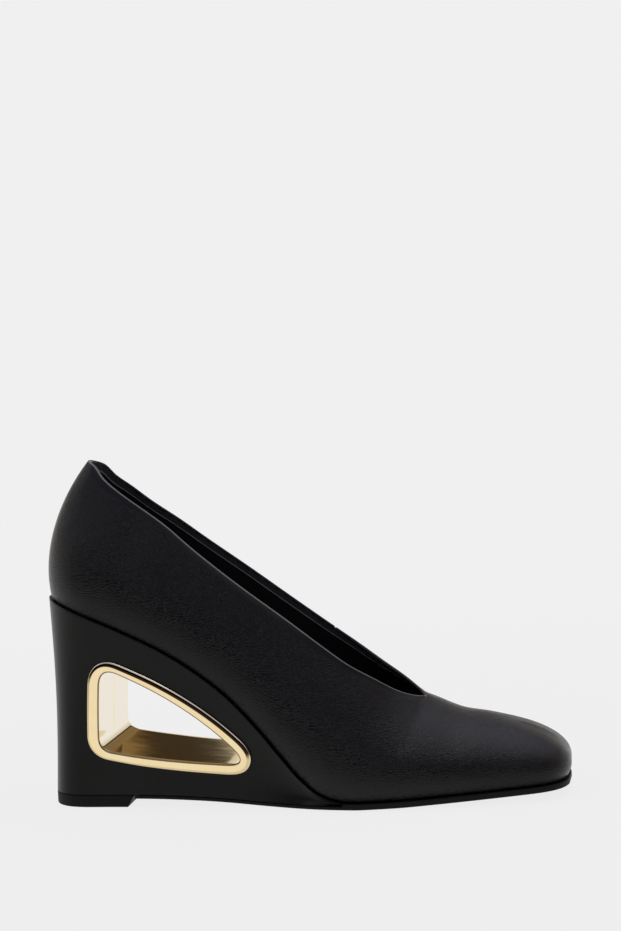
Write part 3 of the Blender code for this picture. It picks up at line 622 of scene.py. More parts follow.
@dataclass
class Skin:
    """Grids of points that together make one closed mesh."""

    points: list[Array] = field(default_factory=list)
    faces: list[Array] = field(default_factory=list)
    marks: dict[str, list[Array]] = field(default_factory=dict)
    count: int = 0

    def add(
        self,
        grid: Array,
        wrap: bool = False,
        keep: Array | None = None,
        marks: dict[str, Number] | None = None,
    ) -> Array:
        """Adds a grid as quads between neighbouring rows and columns.

        Args:
            grid: points as (rows, columns, 3).
            wrap: joins the last column to the first.
            keep: which cells become faces, as (rows - 1, columns or columns - 1).
            marks: numbers for named attributes, one for all points or one for each.

        Returns:
            The points' numbers as (rows, columns).
        """
        rows, columns = grid.shape[:2]
        index = self.count + np.arange(rows * columns).reshape(rows, columns)
        here = index if wrap else index[:, :-1]
        there = np.roll(index, -1, axis=1) if wrap else index[:, 1:]
        quads = np.stack([here[:-1], there[:-1], there[1:], here[1:]], axis=-1)
        quads = quads.reshape(-1, 4) if keep is None else quads[keep]
        self.points.append(grid.reshape(-1, 3))
        self.faces.append(quads)
        for name, values in (marks or {}).items():
            spread = np.broadcast_to(values, (rows, columns)).reshape(-1)
            self.marks.setdefault(name, []).append(np.stack([index.reshape(-1), spread], axis=1))
        self.count += rows * columns
        return index

    def close(self, rows: Array, medial: Array) -> None:
        """Closes both ends of a stack of rings with sheets from side to side.

        Args:
            rows: the rings, as (rows, points round, 3).
            medial: for each lateral point, the number in the ring of the point across.
        """
        for row in (rows[0], rows[-1]):
            self.add(np.stack([row[: len(medial)], row[medial]]))

    def build(self, name: str, finish: Finish, slot: str, stands_for: str, sharp: float = 40.0) -> None:
        """Makes the object: welds touching points, turns faces outwards, and rides it on the root.

        Args:
            name: the piece's name.
            finish: its material.
            slot: not used.
            stands_for: the CAD node that it replaces.
            sharp: edges that turn by more degrees than this stay crisp.
        """
        mesh = bpy.data.meshes.new(name)
        points = np.concatenate(self.points) + np.array(FORM.shift)
        mesh.from_pydata(points.tolist(), [], np.concatenate(self.faces).tolist())
        for mark, parts in self.marks.items():
            values = np.zeros(self.count, np.float32)
            numbered = np.concatenate(parts)
            values[numbered[:, 0].astype(int)] = numbered[:, 1]
            mesh.attributes.new(mark, "FLOAT", "POINT").data.foreach_set("value", values)
        builder = bmesh.new()
        builder.from_mesh(mesh)
        bmesh.ops.remove_doubles(builder, verts=builder.verts, dist=WELD)
        bmesh.ops.dissolve_degenerate(builder, edges=builder.edges, dist=SLIVER)
        bmesh.ops.recalc_face_normals(builder, faces=builder.faces)
        loose = [vertex for vertex in builder.verts if not vertex.link_faces]
        bmesh.ops.delete(builder, geom=loose, context="VERTS")
        open_edges = sum(not edge.is_manifold for edge in builder.edges)
        volume = builder.calc_volume(signed=True)
        builder.to_mesh(mesh)
        builder.free()
        mesh.shade_smooth()
        mesh.set_sharp_from_angle(angle=math.radians(sharp))
        mesh.materials.append(finish.make())
        piece = bpy.data.objects.new(name, mesh)
        bpy.context.scene.collection.objects.link(piece)
        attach(piece, "root")
        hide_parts(stands_for)
        triangles = sum(len(face.vertices) - 2 for face in mesh.polygons)
        LOG.info("%s: %d triangles, %d open edges, %.2f cm3", name, triangles, open_edges, volume * 1e6)


def ring_of(places: Array, ends: tuple[bool, bool]) -> tuple[Array, Array]:
    """The walk round an outline: forward along the lateral side and back along the medial side.

    Args:
        places: rising x places.
        ends: whether both sides meet in one point at the back and at the front.

    Returns:
        Numbers into places, and the side (-1 or 1) of each step.
    """
    count = len(places)
    forward = np.arange(count)
    back = forward[::-1][1 if ends[1] else 0 : count - 1 if ends[0] else count]
    return np.concatenate([forward, back]), np.concatenate([-np.ones(count), np.ones(len(back))])


def medial_of(count: int, ends: tuple[bool, bool]) -> Array:
    """For each of count places, the number in ring_of's walk of its medial point."""
    around = 2 * count - sum(ends)
    return (around - (not ends[0]) - np.arange(count)) % around


def quarter_round(radius: float, count: int = 6) -> tuple[Array, Array]:
    """A quarter circle of rounded edge, read from one face to the next.

    Args:
        radius: its radius.
        count: points along it.

    Returns:
        How far each point is from the face ahead, falling to 0, and from the face behind, rising.
    """
    turns = np.linspace(0.0, math.pi / 2, count)
    return radius * (1 - np.sin(turns)), radius * (1 - np.cos(turns))


@dataclass(frozen=True)
class Collar:
    """The topline of the upper: its plan, its height on each side and the point of the throat."""

    back: float = 0.0201
    length: float = 0.1445
    width: float = 0.0470
    back_round: tuple[float, float] = (0.0220, 2.0)
    throat_round: tuple[float, float] = (0.0354, 1.6)
    depth: float = 0.0588
    throat_depth: float = 0.0385
    plan_table: ShapeTable = ShapeTable(
        ("run", "lateral", "medial"),
        (
            (0.00, 0.640, 0.640),
            (0.15, 0.660, 0.660),
            (0.25, 0.745, 0.745),
            (0.38, 0.850, 0.850),
            (0.54, 0.935, 0.935),
            (0.72, 1.000, 1.000),
            (1.00, 1.000, 1.000),
        ),
    )
    fall_table: ShapeTable = ShapeTable(
        ("run", "lateral", "medial"),
        (
            (0.000, 1.000, 1.000),
            (0.030, 0.980, 0.979),
            (0.062, 0.928, 0.929),
            (0.105, 0.880, 0.882),
            (0.155, 0.830, 0.827),
            (0.252, 0.735, 0.731),
            (0.330, 0.643, 0.649),
            (0.460, 0.502, 0.518),
            (0.620, 0.341, 0.354),
            (0.715, 0.242, 0.259),
            (0.790, 0.166, 0.187),
            (0.860, 0.106, 0.122),
            (0.930, 0.044, 0.063),
            (1.000, 0.000, 0.000),
        ),
    )

    @property
    def plan(self) -> Outline:
        """The collar's outline from above."""
        return Outline(
            self.back, self.length, self.width, self.plan_table, self.back_round, self.throat_round
        )

    @property
    def throat(self) -> float:
        """Place of the throat's point."""
        return self.back + self.length

    @property
    def throat_height(self) -> float:
        """Height of the throat's point."""
        return FORM.fore_sole + self.throat_depth

    def height(self, x: Number, side: Number) -> Array:
        """Height of the edge: from the throat up by the fall table's share of the whole drop."""
        run = (np.asarray(x, float) - self.back) / self.length
        lateral, medial = self.fall_table.read("lateral", run), self.fall_table.read("medial", run)
        share = np.where(np.asarray(side) < 0, lateral, medial)
        back = FORM.seat_height(0.0) + self.depth
        return self.throat_height + (back - self.throat_height) * share


@dataclass(frozen=True)
class Ridge:
    """The centre line of the vamp, from the throat to just behind the toe."""

    start: float
    start_height: float
    end_back: float = 0.0185
    end_depth: float = 0.0223
    swing: float = 0.0035
    table: ShapeTable = ShapeTable(
        ("run", "height"), ((0.00, 1.00), (0.15, 0.745), (0.34, 0.485), (0.60, 0.310), (1.00, 0.00))
    )

    @property
    def end(self) -> float:
        """Place of the line's front end."""
        return FORM.length - self.end_back

    def points(self, x: Number) -> Array:
        """Points of the line; it swings smoothly to the medial side."""
        run = (np.asarray(x, float) - self.start) / (self.end - self.start)
        low = FORM.seat_height(self.end) + self.end_depth
        height = low + (self.start_height - low) * self.table.read("height", run)
        return points_of(x, self.swing * ease(run), height)

    def slope(self, x: Array) -> Array:
        """Steepness of the line at x, or at its start for places behind it."""
        step = FORM.length * 1e-3
        low, high = np.maximum(x - step, self.start), np.minimum(x + step, self.end)
        behind = high <= low
        low, high = np.where(behind, self.start, low), np.where(behind, self.start + step, high)
        return (self.points(high)[..., 2] - self.points(low)[..., 2]) / (high - low)


@dataclass(frozen=True)
class Walk:
    """How far one has walked along an edge at each x."""

    points: Array

    @property
    def walked(self) -> Array:
        """Distance walked up to each point."""
        steps = np.linalg.norm(np.diff(self.points, axis=0), axis=1)
        return np.concatenate([[0.0], np.cumsum(steps)])

    def to(self, x: Number) -> Array:
        """Distance walked up to x."""
        return np.interp(x, self.points[:, 0], self.walked)

    def back_to_x(self, walked: Number) -> Array:
        """The x reached after a distance."""
        return np.interp(walked, self.walked, self.points[:, 0])


@dataclass
class Upper:
    """The leather upper: lasting margin, feather edge, walls, folded collar and lining.

    A pair of rows is the first row that a feature reaches and how many rows it takes to come in; the
    held rows are counted back from the topline.
    """

    collar: Collar = Collar()
    wall: float = 0.0016
    tuck_in: float = 0.0010
    feather: float = 0.0011
    skived: float = 0.0008
    margin: float = 0.0060
    rim_proud: float = 0.00055
    facing: float = 0.0033
    facing_ramp: float = 0.0002
    lining_step: float = 0.00028
    seam_place: float = 0.1231
    seam_depth: float = 0.00045
    seam_half: float = 0.00030
    wall_rows: int = 52
    zone_starts: tuple[float, float] = (0.510, 0.680)
    toe_crown: float = 0.845
    end_ribs: tuple[int, int] = (34, 40)
    zone_ribs: tuple[int, int, int] = (66, 46, 40)
    seam_ribs: tuple[float, ...] = (-3.2, -1.7, -0.8, 0.0, 0.8, 1.7, 3.2)
    seam_clear: float = 0.0003
    rim_rows: tuple[float, ...] = (0.0043, 0.0035, 0.0033, 0.0029, 0.0023, 0.0015, 0.0007, 0.0)
    throat_reach: float = 0.006
    vamp_start: float = 0.108
    vamp_reach: float = 0.034
    evening: tuple[float, float] = (0.60, -0.6035)
    seam_lip: float = 0.22
    seam_rows: tuple[int, int] = (11, 4)
    skived_rows: tuple[int, int] = (12, 5)
    evened_rows: tuple[int, int] = (20, 18)
    held_rows: tuple[int, int] = (10, 4)
    ribs: ShapeTable = ShapeTable(
        ("run", "tuck", "foot_pull", "lean", "top_pull", "fuller"),
        (
            (0.00, 8.6, 0.35, 30.5, 0.36, 0.0),
            (0.12, 24.0, 0.36, 26.0, 0.36, 0.0),
            (0.28, 26.0, 0.36, 20.0, 0.34, 0.0),
            (0.42, 26.0, 0.36, 24.0, 0.34, 0.0),
            (0.55, 30.0, 0.38, 46.0, 0.36, 3.0),
            (0.66, 32.0, 0.40, 82.0, 0.42, 9.0),
            (0.70, 31.0, 0.41, 90.0, 0.44, 9.0),
            (0.82, 26.0, 0.42, 90.0, 0.46, 7.0),
            (0.91, 26.0, 0.40, 90.0, 0.47, 8.0),
            (1.00, 32.0, 0.33, 90.0, 0.55, 0.0),
        ),
    )
    finish: LeatherFinish = LeatherFinish("upper_leather", lined=True)

    @property
    def ridge(self) -> Ridge:
        """The vamp's centre line, starting at the throat."""
        return Ridge(self.collar.throat, self.collar.throat_height)

    def fine_places(self, outline: Outline) -> Array:
        """Close x places along an outline, closer still round its ends."""
        back, front = outline.end_steps(60, False), outline.end_steps(60, True)[::-1]
        return np.concatenate([back, np.linspace(back[-1], front[0], 60)[1:-1], front])

    def walks(self) -> tuple[Walk, Walk]:
        """The walks along the sole's edge and along the topline and ridge.

        Returns:
            The sole's walk, in plan, and the top's walk, in space; each is the mean of both sides.
        """
        x = self.fine_places(FORM.plan)
        sole = points_of(x, (FORM.plan.y(x, 1) - FORM.plan.y(x, -1)) / 2, 0.0)
        x, plan, ridge = self.fine_places(self.collar.plan), self.collar.plan, self.ridge
        height = (self.collar.height(x, 1) + self.collar.height(x, -1)) / 2
        rim = points_of(x, (plan.y(x, 1) - plan.y(x, -1)) / 2, height)
        vamp = np.linspace(ridge.start, ridge.end, 60)[1:]
        line = points_of(vamp, 0.0, ridge.points(vamp)[:, 2])
        return Walk(sole), Walk(np.concatenate([rim, line]))

    def layout(self) -> tuple[Array, Array, Array]:
        """Where the ribs stand.

        Places on the sole and on the topline and ridge are matched by the distances walked to them,
        along one smooth curve through the rows where a zone of the shoe begins.

        Returns:
            Sole places, top places and whether each rib ends on the ridge.
        """
        sole_walk, top_walk = self.walks()
        heel, toe = FORM.heel_round[0], FORM.length - FORM.toe_round[0]
        waist, ball = (share * FORM.length for share in self.zone_starts)
        sole_rows = np.array([0.0, heel, waist, ball, toe, FORM.length])
        collar, ridge = self.collar, self.ridge
        top_rows = np.array(
            [
                collar.back,
                collar.back + collar.back_round[0],
                collar.throat - collar.throat_round[0],
                collar.throat,
                self.toe_crown * FORM.length,
                ridge.end,
            ]
        )
        sole_at, top_at = sole_walk.to(sole_rows), top_walk.to(top_rows)
        at_back, at_front = self.end_ribs
        back, front = FORM.plan.end_steps(at_back, False), FORM.plan.end_steps(at_front, True)[::-1]
        zones = zip(sole_rows[1:4], sole_rows[2:5], self.zone_ribs)
        middle = [np.linspace(low, high, count + 1)[:-1] for low, high, count in zones]
        fine = np.linspace(0.3, 0.6, 4001) * FORM.length
        tops = top_walk.back_to_x(smooth_curve(sole_at, top_at, sole_walk.to(fine)))
        beside = np.array(self.seam_ribs) * self.seam_half
        seam = np.interp(self.seam_place + beside, tops, fine)
        plain = np.concatenate([back[:-1], *middle, front])
        plain = plain[(plain < seam[0] - self.seam_clear) | (plain > seam[-1] + self.seam_clear)]
        sole = np.sort(np.concatenate([plain, seam]))
        top = top_walk.back_to_x(smooth_curve(sole_at, top_at, sole_walk.to(sole)))
        on_ridge = sole >= sole_rows[3] - 1e-9
        return sole, np.where(on_ridge, np.maximum(top, collar.throat), top), on_ridge

    def rib_grid(self, sole: Array, top: Array, on_ridge: Array, side: Array) -> tuple[Array, Array]:
        """All ribs as one grid, from the margin's inner edge up to the topline or ridge.

        The margin lies on the seat; the feather edge is an arc that turns it up and out; the wall is a
        cubic Bezier that leaves the feather at its tuck angle and arrives at the top at its lean angle,
        more on the medial side and less on the lateral side, so that the vamp is fuller medially. Rows
        bunch near the collar so that its facing has a crisp edge.

        Args:
            sole: places on the sole.
            top: places on the topline or ridge.
            on_ridge: which ribs end on the ridge.
            side: -1 or 1 for each rib.

        Returns:
            Points as (rows, ribs, 3), and each point's distance from the collar's edge.
        """
        run = sole / FORM.length
        tuck = np.radians(self.ribs.read("tuck", run))[:, None]
        fuller = self.ribs.read("fuller", run) * side
        lean = np.radians(self.ribs.read("lean", run) + fuller)[:, None]
        out = FORM.plan.outward(sole, side)
        edge = points_of(sole, FORM.plan.y(sole, side), 0.0) - out * self.tuck_in
        turned = self.feather

        def on_seat(inward: Array, up: Array) -> Array:
            """Points that lie inward of the edge on the seat, lifted by up."""
            place = edge - out * inward
            height = FORM.seat_height(place[..., 0], FORM.gap) + up[..., 0]
            return points_of(place[..., 0], place[..., 1], height)

        none = np.zeros_like(tuck)
        inner = [on_seat(none + turned + self.margin * share, none) for share in (1.0, 0.75, 0.5, 0.25)]
        turns = [(math.pi / 2 - tuck) * share for share in np.linspace(0.0, 1.0, 9)]
        arc = [on_seat(turned * (1 - np.sin(a)), turned * (1 - np.cos(a))) for a in turns]
        foot = arc[-1]
        collar, ridge = self.collar, self.ridge
        topline = points_of(top, collar.plan.y(top, side), collar.height(top, side))
        head = np.where(on_ridge[:, None], ridge.points(np.maximum(top, ridge.start)), topline)
        chord = head - foot
        rise = unit(chord - out * np.sum(chord * out, axis=1, keepdims=True))
        inward = -out + points_of(0.0, 0.0, -out[:, 0] * ridge.slope(top))
        leave = rise * np.cos(tuck) + out * np.sin(tuck)
        arrive = unit(rise * np.cos(lean) + inward * np.sin(lean))
        span = np.linalg.norm(chord, axis=1, keepdims=True)
        top_pull = self.ribs.read("top_pull", run)[:, None]
        first = foot + leave * span * self.ribs.read("foot_pull", run)[:, None]
        second = head - arrive * span * top_pull
        pace = 3 * span * top_pull
        past = ease((collar.throat - top)[:, None] / self.throat_reach)
        trim = self.rim_proud * np.where(on_ridge[:, None], 0.0, past)
        near = 1 - (np.array(self.rim_rows)[:, None, None] + trim) / pace
        far = near[0] * np.linspace(0.0, 1.0, self.wall_rows + 1)[:-1, None, None]
        t = np.concatenate([far, near])
        wall = (1 - t) ** 3 * foot + 3 * t * (1 - t) ** 2 * first + 3 * t * t * (1 - t) * second + t**3 * head
        under = np.stack(inner + arc[:-1])
        distance = np.concatenate([np.full(under.shape[:2], FAR_FROM_RIM), ((1 - t) * pace - trim)[..., 0]])
        ahead = np.maximum(top - collar.throat, 0.0) * on_ridge
        return np.concatenate([under, wall]), np.hypot(distance, ahead)

    def from_row(self, rows: Array, first: int, span: int) -> Array:
        """A share that rises from 0 at the first row to 1 after a span of rows."""
        return ease((rows - first) / span)

    def relaxed(
        self, grid: Array, top: Array, sharing: Array, on_ridge: Array, rounds: int = 2400
    ) -> Array:
        """Evens out the vamp without drawing it in.

        Each round moves the points part of the way to their neighbours' mean; every second round steps
        back a little further, so that only the short waves go.

        Args:
            grid: points as (rows, ribs, 3), closed round the ribs.
            top: each rib's place on the topline or ridge.
            sharing: for each rib, the rib whose top point is the same.
            on_ridge: which ribs end on the ridge.
            rounds: how many times.

        Returns:
            The evened grid; the collar, the feather edge and the quarters stay where they are.
        """
        last = len(grid) - 1
        rows = np.arange(len(grid))[:, None]
        forward = ease((grid[..., 0].min(axis=0) - self.vamp_start) / self.vamp_reach)
        past_throat = ease((top - self.collar.throat) / self.throat_reach) * on_ridge
        held = self.from_row(rows - last, -self.held_rows[0], self.held_rows[1]) * (1 - past_throat)
        share = (self.from_row(rows, *self.evened_rows) * forward * (1 - held))[..., None]
        out = grid.copy()
        for i in range(rounds):
            beside = np.roll(out, 1, axis=1) + np.roll(out, -1, axis=1)
            mean = out.copy()
            mean[1:-1] = (out[2:] + out[:-2] + beside[1:-1]) / 4
            mean[-1] = (out[-2] + out[-2][sharing] + beside[-1]) / 4
            out = out + share * (mean - out) * self.evening[i % 2]
            out[-1] = (out[-1] + out[-1][sharing]) / 2
        return out

    def normals(self, grid: Array, sharing: Array) -> Array:
        """Unit normals at the grid's points, from the cross products of each cell's diagonals.

        Args:
            grid: points as (rows, ribs, 3), closed round the ribs.
            sharing: for each rib, the rib whose top point is the same; itself where there is none.

        Returns:
            Normals that point out of the shoe, the same shape as the grid.
        """
        there = np.roll(grid, -1, axis=1)
        cells = np.cross(there[1:] - grid[:-1], grid[1:] - there[:-1])
        summed = np.zeros_like(grid)
        for rows in (slice(None, -1), slice(1, None)):
            summed[rows] += cells
            summed[rows] += np.roll(cells, 1, axis=1)
        shared = (sharing != np.arange(len(sharing)))[:, None]
        summed[-1] = np.where(shared, summed[-1] + summed[-1][sharing], summed[-1])
        return unit(summed)

    def build(self) -> None:
        """Makes the upper: outer skin, rolled rim, inner skin and the margin's edge in one shell."""
        sole, top, on_ridge = self.layout()
        ring, side = ring_of(sole, (True, True))
        grid, distance = self.rib_grid(sole[ring], top[ring], on_ridge[ring], side)
        count, steps = len(sole), np.arange(len(ring))
        sharing = np.where(on_ridge[ring], (len(ring) - steps) % len(ring), steps)
        grid = self.relaxed(grid, top[ring], sharing, on_ridge[ring])
        normals = self.normals(grid, sharing)
        if np.sum(normals[len(grid) // 2, :, 1] * side) < 0:
            normals = -normals
        beside = (top[ring] - self.seam_place) / self.seam_half
        groove = np.exp(-(beside**2)) - self.seam_lip * np.exp(-((np.abs(beside) - 2.2) ** 2) / 0.8)
        rows = np.arange(len(grid))[:, None]
        sunk = self.seam_depth * groove * (side > 0) * self.from_row(rows, *self.seam_rows)
        outer = grid - normals * sunk[..., None]
        below = ease((distance - self.facing) / self.facing_ramp) * ~on_ridge[ring]
        thick = self.wall - self.lining_step * below
        thick = self.skived + (thick - self.skived) * self.from_row(rows, *self.skived_rows)
        inner = grid - normals * thick[..., None]
        skin = Skin()
        skin.add(outer, True, None, {"lining": 0.0, "rim": distance})
        skin.add(inner, True, None, {"lining": 1.0, "rim": distance})
        margin = np.stack([outer[0], inner[0]])
        skin.add(margin, True, None, {"lining": 1.0, "rim": FAR_FROM_RIM})
        throat = int(np.argmax(on_ridge))
        rim = np.concatenate([np.arange(throat + 1), np.arange(2 * count - 1 - throat, len(ring))])
        start, end = outer[-1][rim], inner[-1][rim]
        line = grid[-1][rim]
        along = unit(np.roll(line, -1, axis=0) - np.roll(line, 1, axis=0))
        away = unit(np.cross(along, normals[-1][rim]))
        away *= np.sign(np.sum(away * (grid[-1][rim] - grid[-3][rim]), axis=1, keepdims=True))
        away[throat] = unit(away[throat - 1] + away[throat + 1])
        turns = np.linspace(0.0, math.pi, 11)[:, None, None]
        middle, half = (start + end) / 2, (start - end) / 2
        notch = (1 - 0.6 * np.exp(-((beside[rim] / 1.6) ** 2)) * (side[rim] > 0))[:, None]
        rolled = middle + half * np.cos(turns) + away * self.rim_proud * notch * np.sin(turns)
        skin.add(rolled, True, None, {"lining": 0.0, "rim": 0.0})
        skin.build("upper_leather_shell", self.finish, "upper_leather", "upper", 50.0)


def places_between(outline: Outline, low: float, high: float, step: float) -> Array:
    """x places along part of an outline, evenly turned round its ends and at most a step apart."""
    back, front = outline.end_steps(24, False), outline.end_steps(30, True)[::-1]
    count = int(math.ceil((front[0] - back[-1]) / step))
    places = np.concatenate([back[:-1], np.linspace(back[-1], front[0], count), front[1:]])
    inside = places[(places > low + step * 0.4) & (places < high - step * 0.4)]
    return np.concatenate([[low], inside, [high]])


@dataclass
class Insole:
    """The insole with its leather sock, dished a little under the heel."""

    thickness: float = 0.0026
    clearance: float = 0.0006
    dish: float = 0.0009
    wall_inset: float = 0.0026
    margin_wall: float = 0.0016
    toe_fade: float = 0.01
    finish: LeatherFinish = LeatherFinish(
        "insole_sock", (0.0060, 0.0058, 0.0058), (0.0120, 0.0112, 0.0105), 0.50, 0.00055, 0.00004
    )

    def build(self) -> None:
        """Stacks the sides in rows and lays a dished sheet over the top.

        A point of the sheet is the outline's lateral and medial edge mixed by a share s; it sinks by
        dish times 1 - s^2 where s runs from -1 to 1, and less near the ends.
        """
        plan = FORM.plan
        inset = self.clearance + self.wall_inset
        x = places_between(plan, 0.0, FORM.length, RING_STEP)
        ring, side = ring_of(x, (True, True))
        low = FORM.gap + self.margin_wall + self.clearance
        below, drawn = quarter_round(self.thickness * 0.4)
        insets = np.concatenate([[0.0], drawn]) + inset
        lifts = np.concatenate([[low], low + self.thickness - below])
        out = plan.outward(x[ring], side)
        base = points_of(x[ring], plan.y(x[ring], side), 0.0)
        rows = base - out * insets[:, None, None]
        rows = points_of(rows[..., 0], rows[..., 1], FORM.seat_height(rows[..., 0], lifts[:, None]))
        skin = Skin()
        skin.add(rows, True)
        medial = medial_of(len(x), (True, True))
        share = np.linspace(0.0, 1.0, 17)[:, None, None]
        bowl = (1 - (2 * share[..., 0] - 1) ** 2) * ease(np.minimum(x, FORM.length - x) / self.toe_fade)
        for row, dish in ((rows[0], 0.0), (rows[-1], self.dish)):
            sheet = row[: len(x)] * (1 - share) + row[medial] * share
            sheet[..., 2] -= dish * bowl
            skin.add(sheet)
        skin.build("insole_sock", self.finish, "insole_lining", "insole")


@dataclass
class Window:
    """The opening through the wedge, seen from the side."""

    corners: tuple[tuple[float, float, float, float], ...] = (
        (0.1913, 0.2990, 0.0885, 0.0224),
        (0.6950, 0.2136, 0.1355, 0.0588),
        (0.2086, 0.7228, 0.2312, 0.0136),
    )
    faces: tuple[tuple[float, float], ...] = ((0.83, 0.97), (0.88, 0.56), (1.22, 1.29))
    bevels: tuple[tuple[float, float], ...] = ((0.52, 0.62), (1.05, 1.14), (0.60, 0.52))
    edge_steps: int = 44
    corner_steps: int = 26

    def outline(self) -> Array:
        """The opening's edge as (x, z) points, anticlockwise from the lateral side.

        Each edge is a parabola that bows outwards; each corner is a quadratic Bezier between the
        trimmed ends of its two edges, tangent to both.

        Returns:
            The points, as (count, 2).
        """
        table = np.array(self.corners)
        corner = table[:, :2] * (FORM.wedge_length, FORM.wedge_height)
        after = np.roll(corner, -1, axis=0)
        length = np.linalg.norm(after - corner, axis=1)
        cut = table[:, 2] * length
        right = np.stack([(after - corner)[:, 1], -(after - corner)[:, 0]], axis=1) / length[:, None]
        start, end = cut / length, 1 - np.roll(cut, -1) / length
        t = start[:, None] + (end - start)[:, None] * np.linspace(0.0, 1.0, self.edge_steps + 1)
        bow = (table[:, 3] * length)[:, None, None] * right[:, None] * (4 * t * (1 - t))[..., None]
        edges = corner[:, None] + (after - corner)[:, None] * t[..., None] + bow
        leave, arrive = edges[:, -1] - edges[:, -2], np.roll(edges[:, 0] - edges[:, 1], -1, axis=0)
        here, there = edges[:, -1], np.roll(edges[:, 0], -1, axis=0)
        reach = np.linalg.solve(np.stack([leave, -arrive], axis=-1), (there - here)[..., None])[:, 0]
        apex = here + leave * reach
        s = np.linspace(0.0, 1.0, self.corner_steps + 1)[1:-1, None]
        rounds = (1 - s) ** 2 * here[:, None] + 2 * s * (1 - s) * apex[:, None] + s * s * there[:, None]
        return np.concatenate([edges, rounds], axis=1).reshape(-1, 2)

    def breadths(self, ends: tuple[tuple[float, float], ...]) -> Array:
        """Shares along the outline: straight along each edge, eased round each corner."""
        table = np.array(ends)
        t = np.linspace(0.0, 1.0, self.edge_steps + 1)
        edges = table[:, :1] + (table[:, 1:] - table[:, :1]) * t
        s = ease(np.linspace(0.0, 1.0, self.corner_steps + 1)[1:-1])
        rounds = table[:, 1:] + (np.roll(table[:, :1], -1, axis=0) - table[:, 1:]) * s
        return np.concatenate([edges, rounds], axis=1).reshape(-1)

    def grown(self, distance: Number) -> Array:
        """The edge moved outwards, square to itself.

        Args:
            distance: one number, or an array whose last axis is the outline's points or 1.

        Returns:
            The moved points, as (..., count, 2).
        """
        edge = self.outline()
        along = np.roll(edge, -1, axis=0) - np.roll(edge, 1, axis=0)
        square = unit(np.stack([along[:, 1], -along[:, 0]], axis=1))
        return edge + square * np.atleast_1d(np.asarray(distance, float))[..., None]

    def holds(self, x: Array, z: Array, distance: float) -> Array:
        """Which places lie inside the edge grown by a distance: an odd number of edges above them."""
        edge = self.grown(distance)
        after = np.roll(edge, -1, axis=0)
        px, pz = x[..., None], z[..., None]
        crosses = (edge[:, 0] > px) != (after[:, 0] > px)
        run = np.where(crosses, after[:, 0] - edge[:, 0], 1.0)
        height = edge[:, 1] + (px - edge[:, 0]) * (after[:, 1] - edge[:, 1]) / run
        return np.sum(crosses & (height > pz), axis=-1) % 2 == 1


@dataclass
class Wedge:
    """The leather-covered wedge heel with the hole for the window frame."""

    window: Window
    rim_round: float = 0.0005
    hidden_reach: float = 0.0032
    rows: int = 74
    ring_step: float = 0.00095
    finish: LeatherFinish = LeatherFinish(
        "wedge_leather", (0.0024, 0.0021, 0.0016), (0.0044, 0.0039, 0.0030), 0.32, 0.00070, 0.00004, 0.8, 0.19
    )

    def build(self) -> None:
        """Stacks rings from the foot to the seat, each a share t of the height.

        A ring is the foot's outline mixed with the seat's by t, drawn in by the hollow's half sine; the
        last rows turn over the rim in a quarter circle. Cells inside the window are left out on both
        flanks, and the two edges left there are bridged through the wedge, under the frame.
        """
        x = places_between(FORM.plan, 0.0, FORM.wedge_length, self.ring_step)
        ring, side = ring_of(x, (True, False))
        below, drawn_in = (part[1:] for part in quarter_round(self.rim_round))
        high_x = x[ring]
        tall = FORM.seat_height(high_x) - FORM.wedge_foot_height(high_x)
        level = np.linspace(0.0, 1.0, self.rows)[:, None] * (1 - self.rim_round / tall)
        rim = 1 - below[:, None] / tall
        t = np.concatenate([level, rim])
        inset = np.concatenate([np.zeros(self.rows), drawn_in])[:, None]
        out = FORM.plan.outward(high_x, side)
        drawn = inset + FORM.hollow * np.sin(math.pi * t)
        at_x = high_x - out[:, 0] * drawn
        low, high = FORM.wedge_foot_height(at_x), FORM.seat_height(at_x)
        seat, foot = FORM.plan.y(high_x, side), FORM.foot_plan.y(high_x, side)
        y = foot + (seat - foot) * t - out[:, 1] * drawn
        grid = points_of(at_x, y, low + (high - low) * t)
        count = len(x)
        corners = self.window.holds(grid[..., 0], grid[..., 2], self.hidden_reach)
        after = np.roll(corners, -1, axis=1)
        gone = corners[:-1] | corners[1:] | after[:-1] | after[1:]
        hole = gone[:, : count - 1] | gone[:, count:][:, ::-1]
        gone = np.zeros_like(gone)
        gone[:, : count - 1] = hole
        gone[:, count:] = hole[:, ::-1]
        skin = Skin()
        index = skin.add(grid, True, ~gone)
        medial = medial_of(count, (True, False))
        near, away = index[:, :count], index[:, medial]
        padded = np.pad(hole, 1)
        rises = np.argwhere(padded[1:-1, 1:] != padded[1:-1, :-1])
        runs = np.argwhere(padded[1:, 1:-1] != padded[:-1, 1:-1])
        for cells, step in ((rises, (1, 0)), (runs, (0, 1))):
            a, b = tuple(cells.T), tuple((cells + step).T)
            skin.faces.append(np.stack([near[a], near[b], away[b], away[a]], axis=-1))
        skin.close(grid, medial)
        skin.build("wedge_cover", self.finish, "wedge_leather", "wedge")


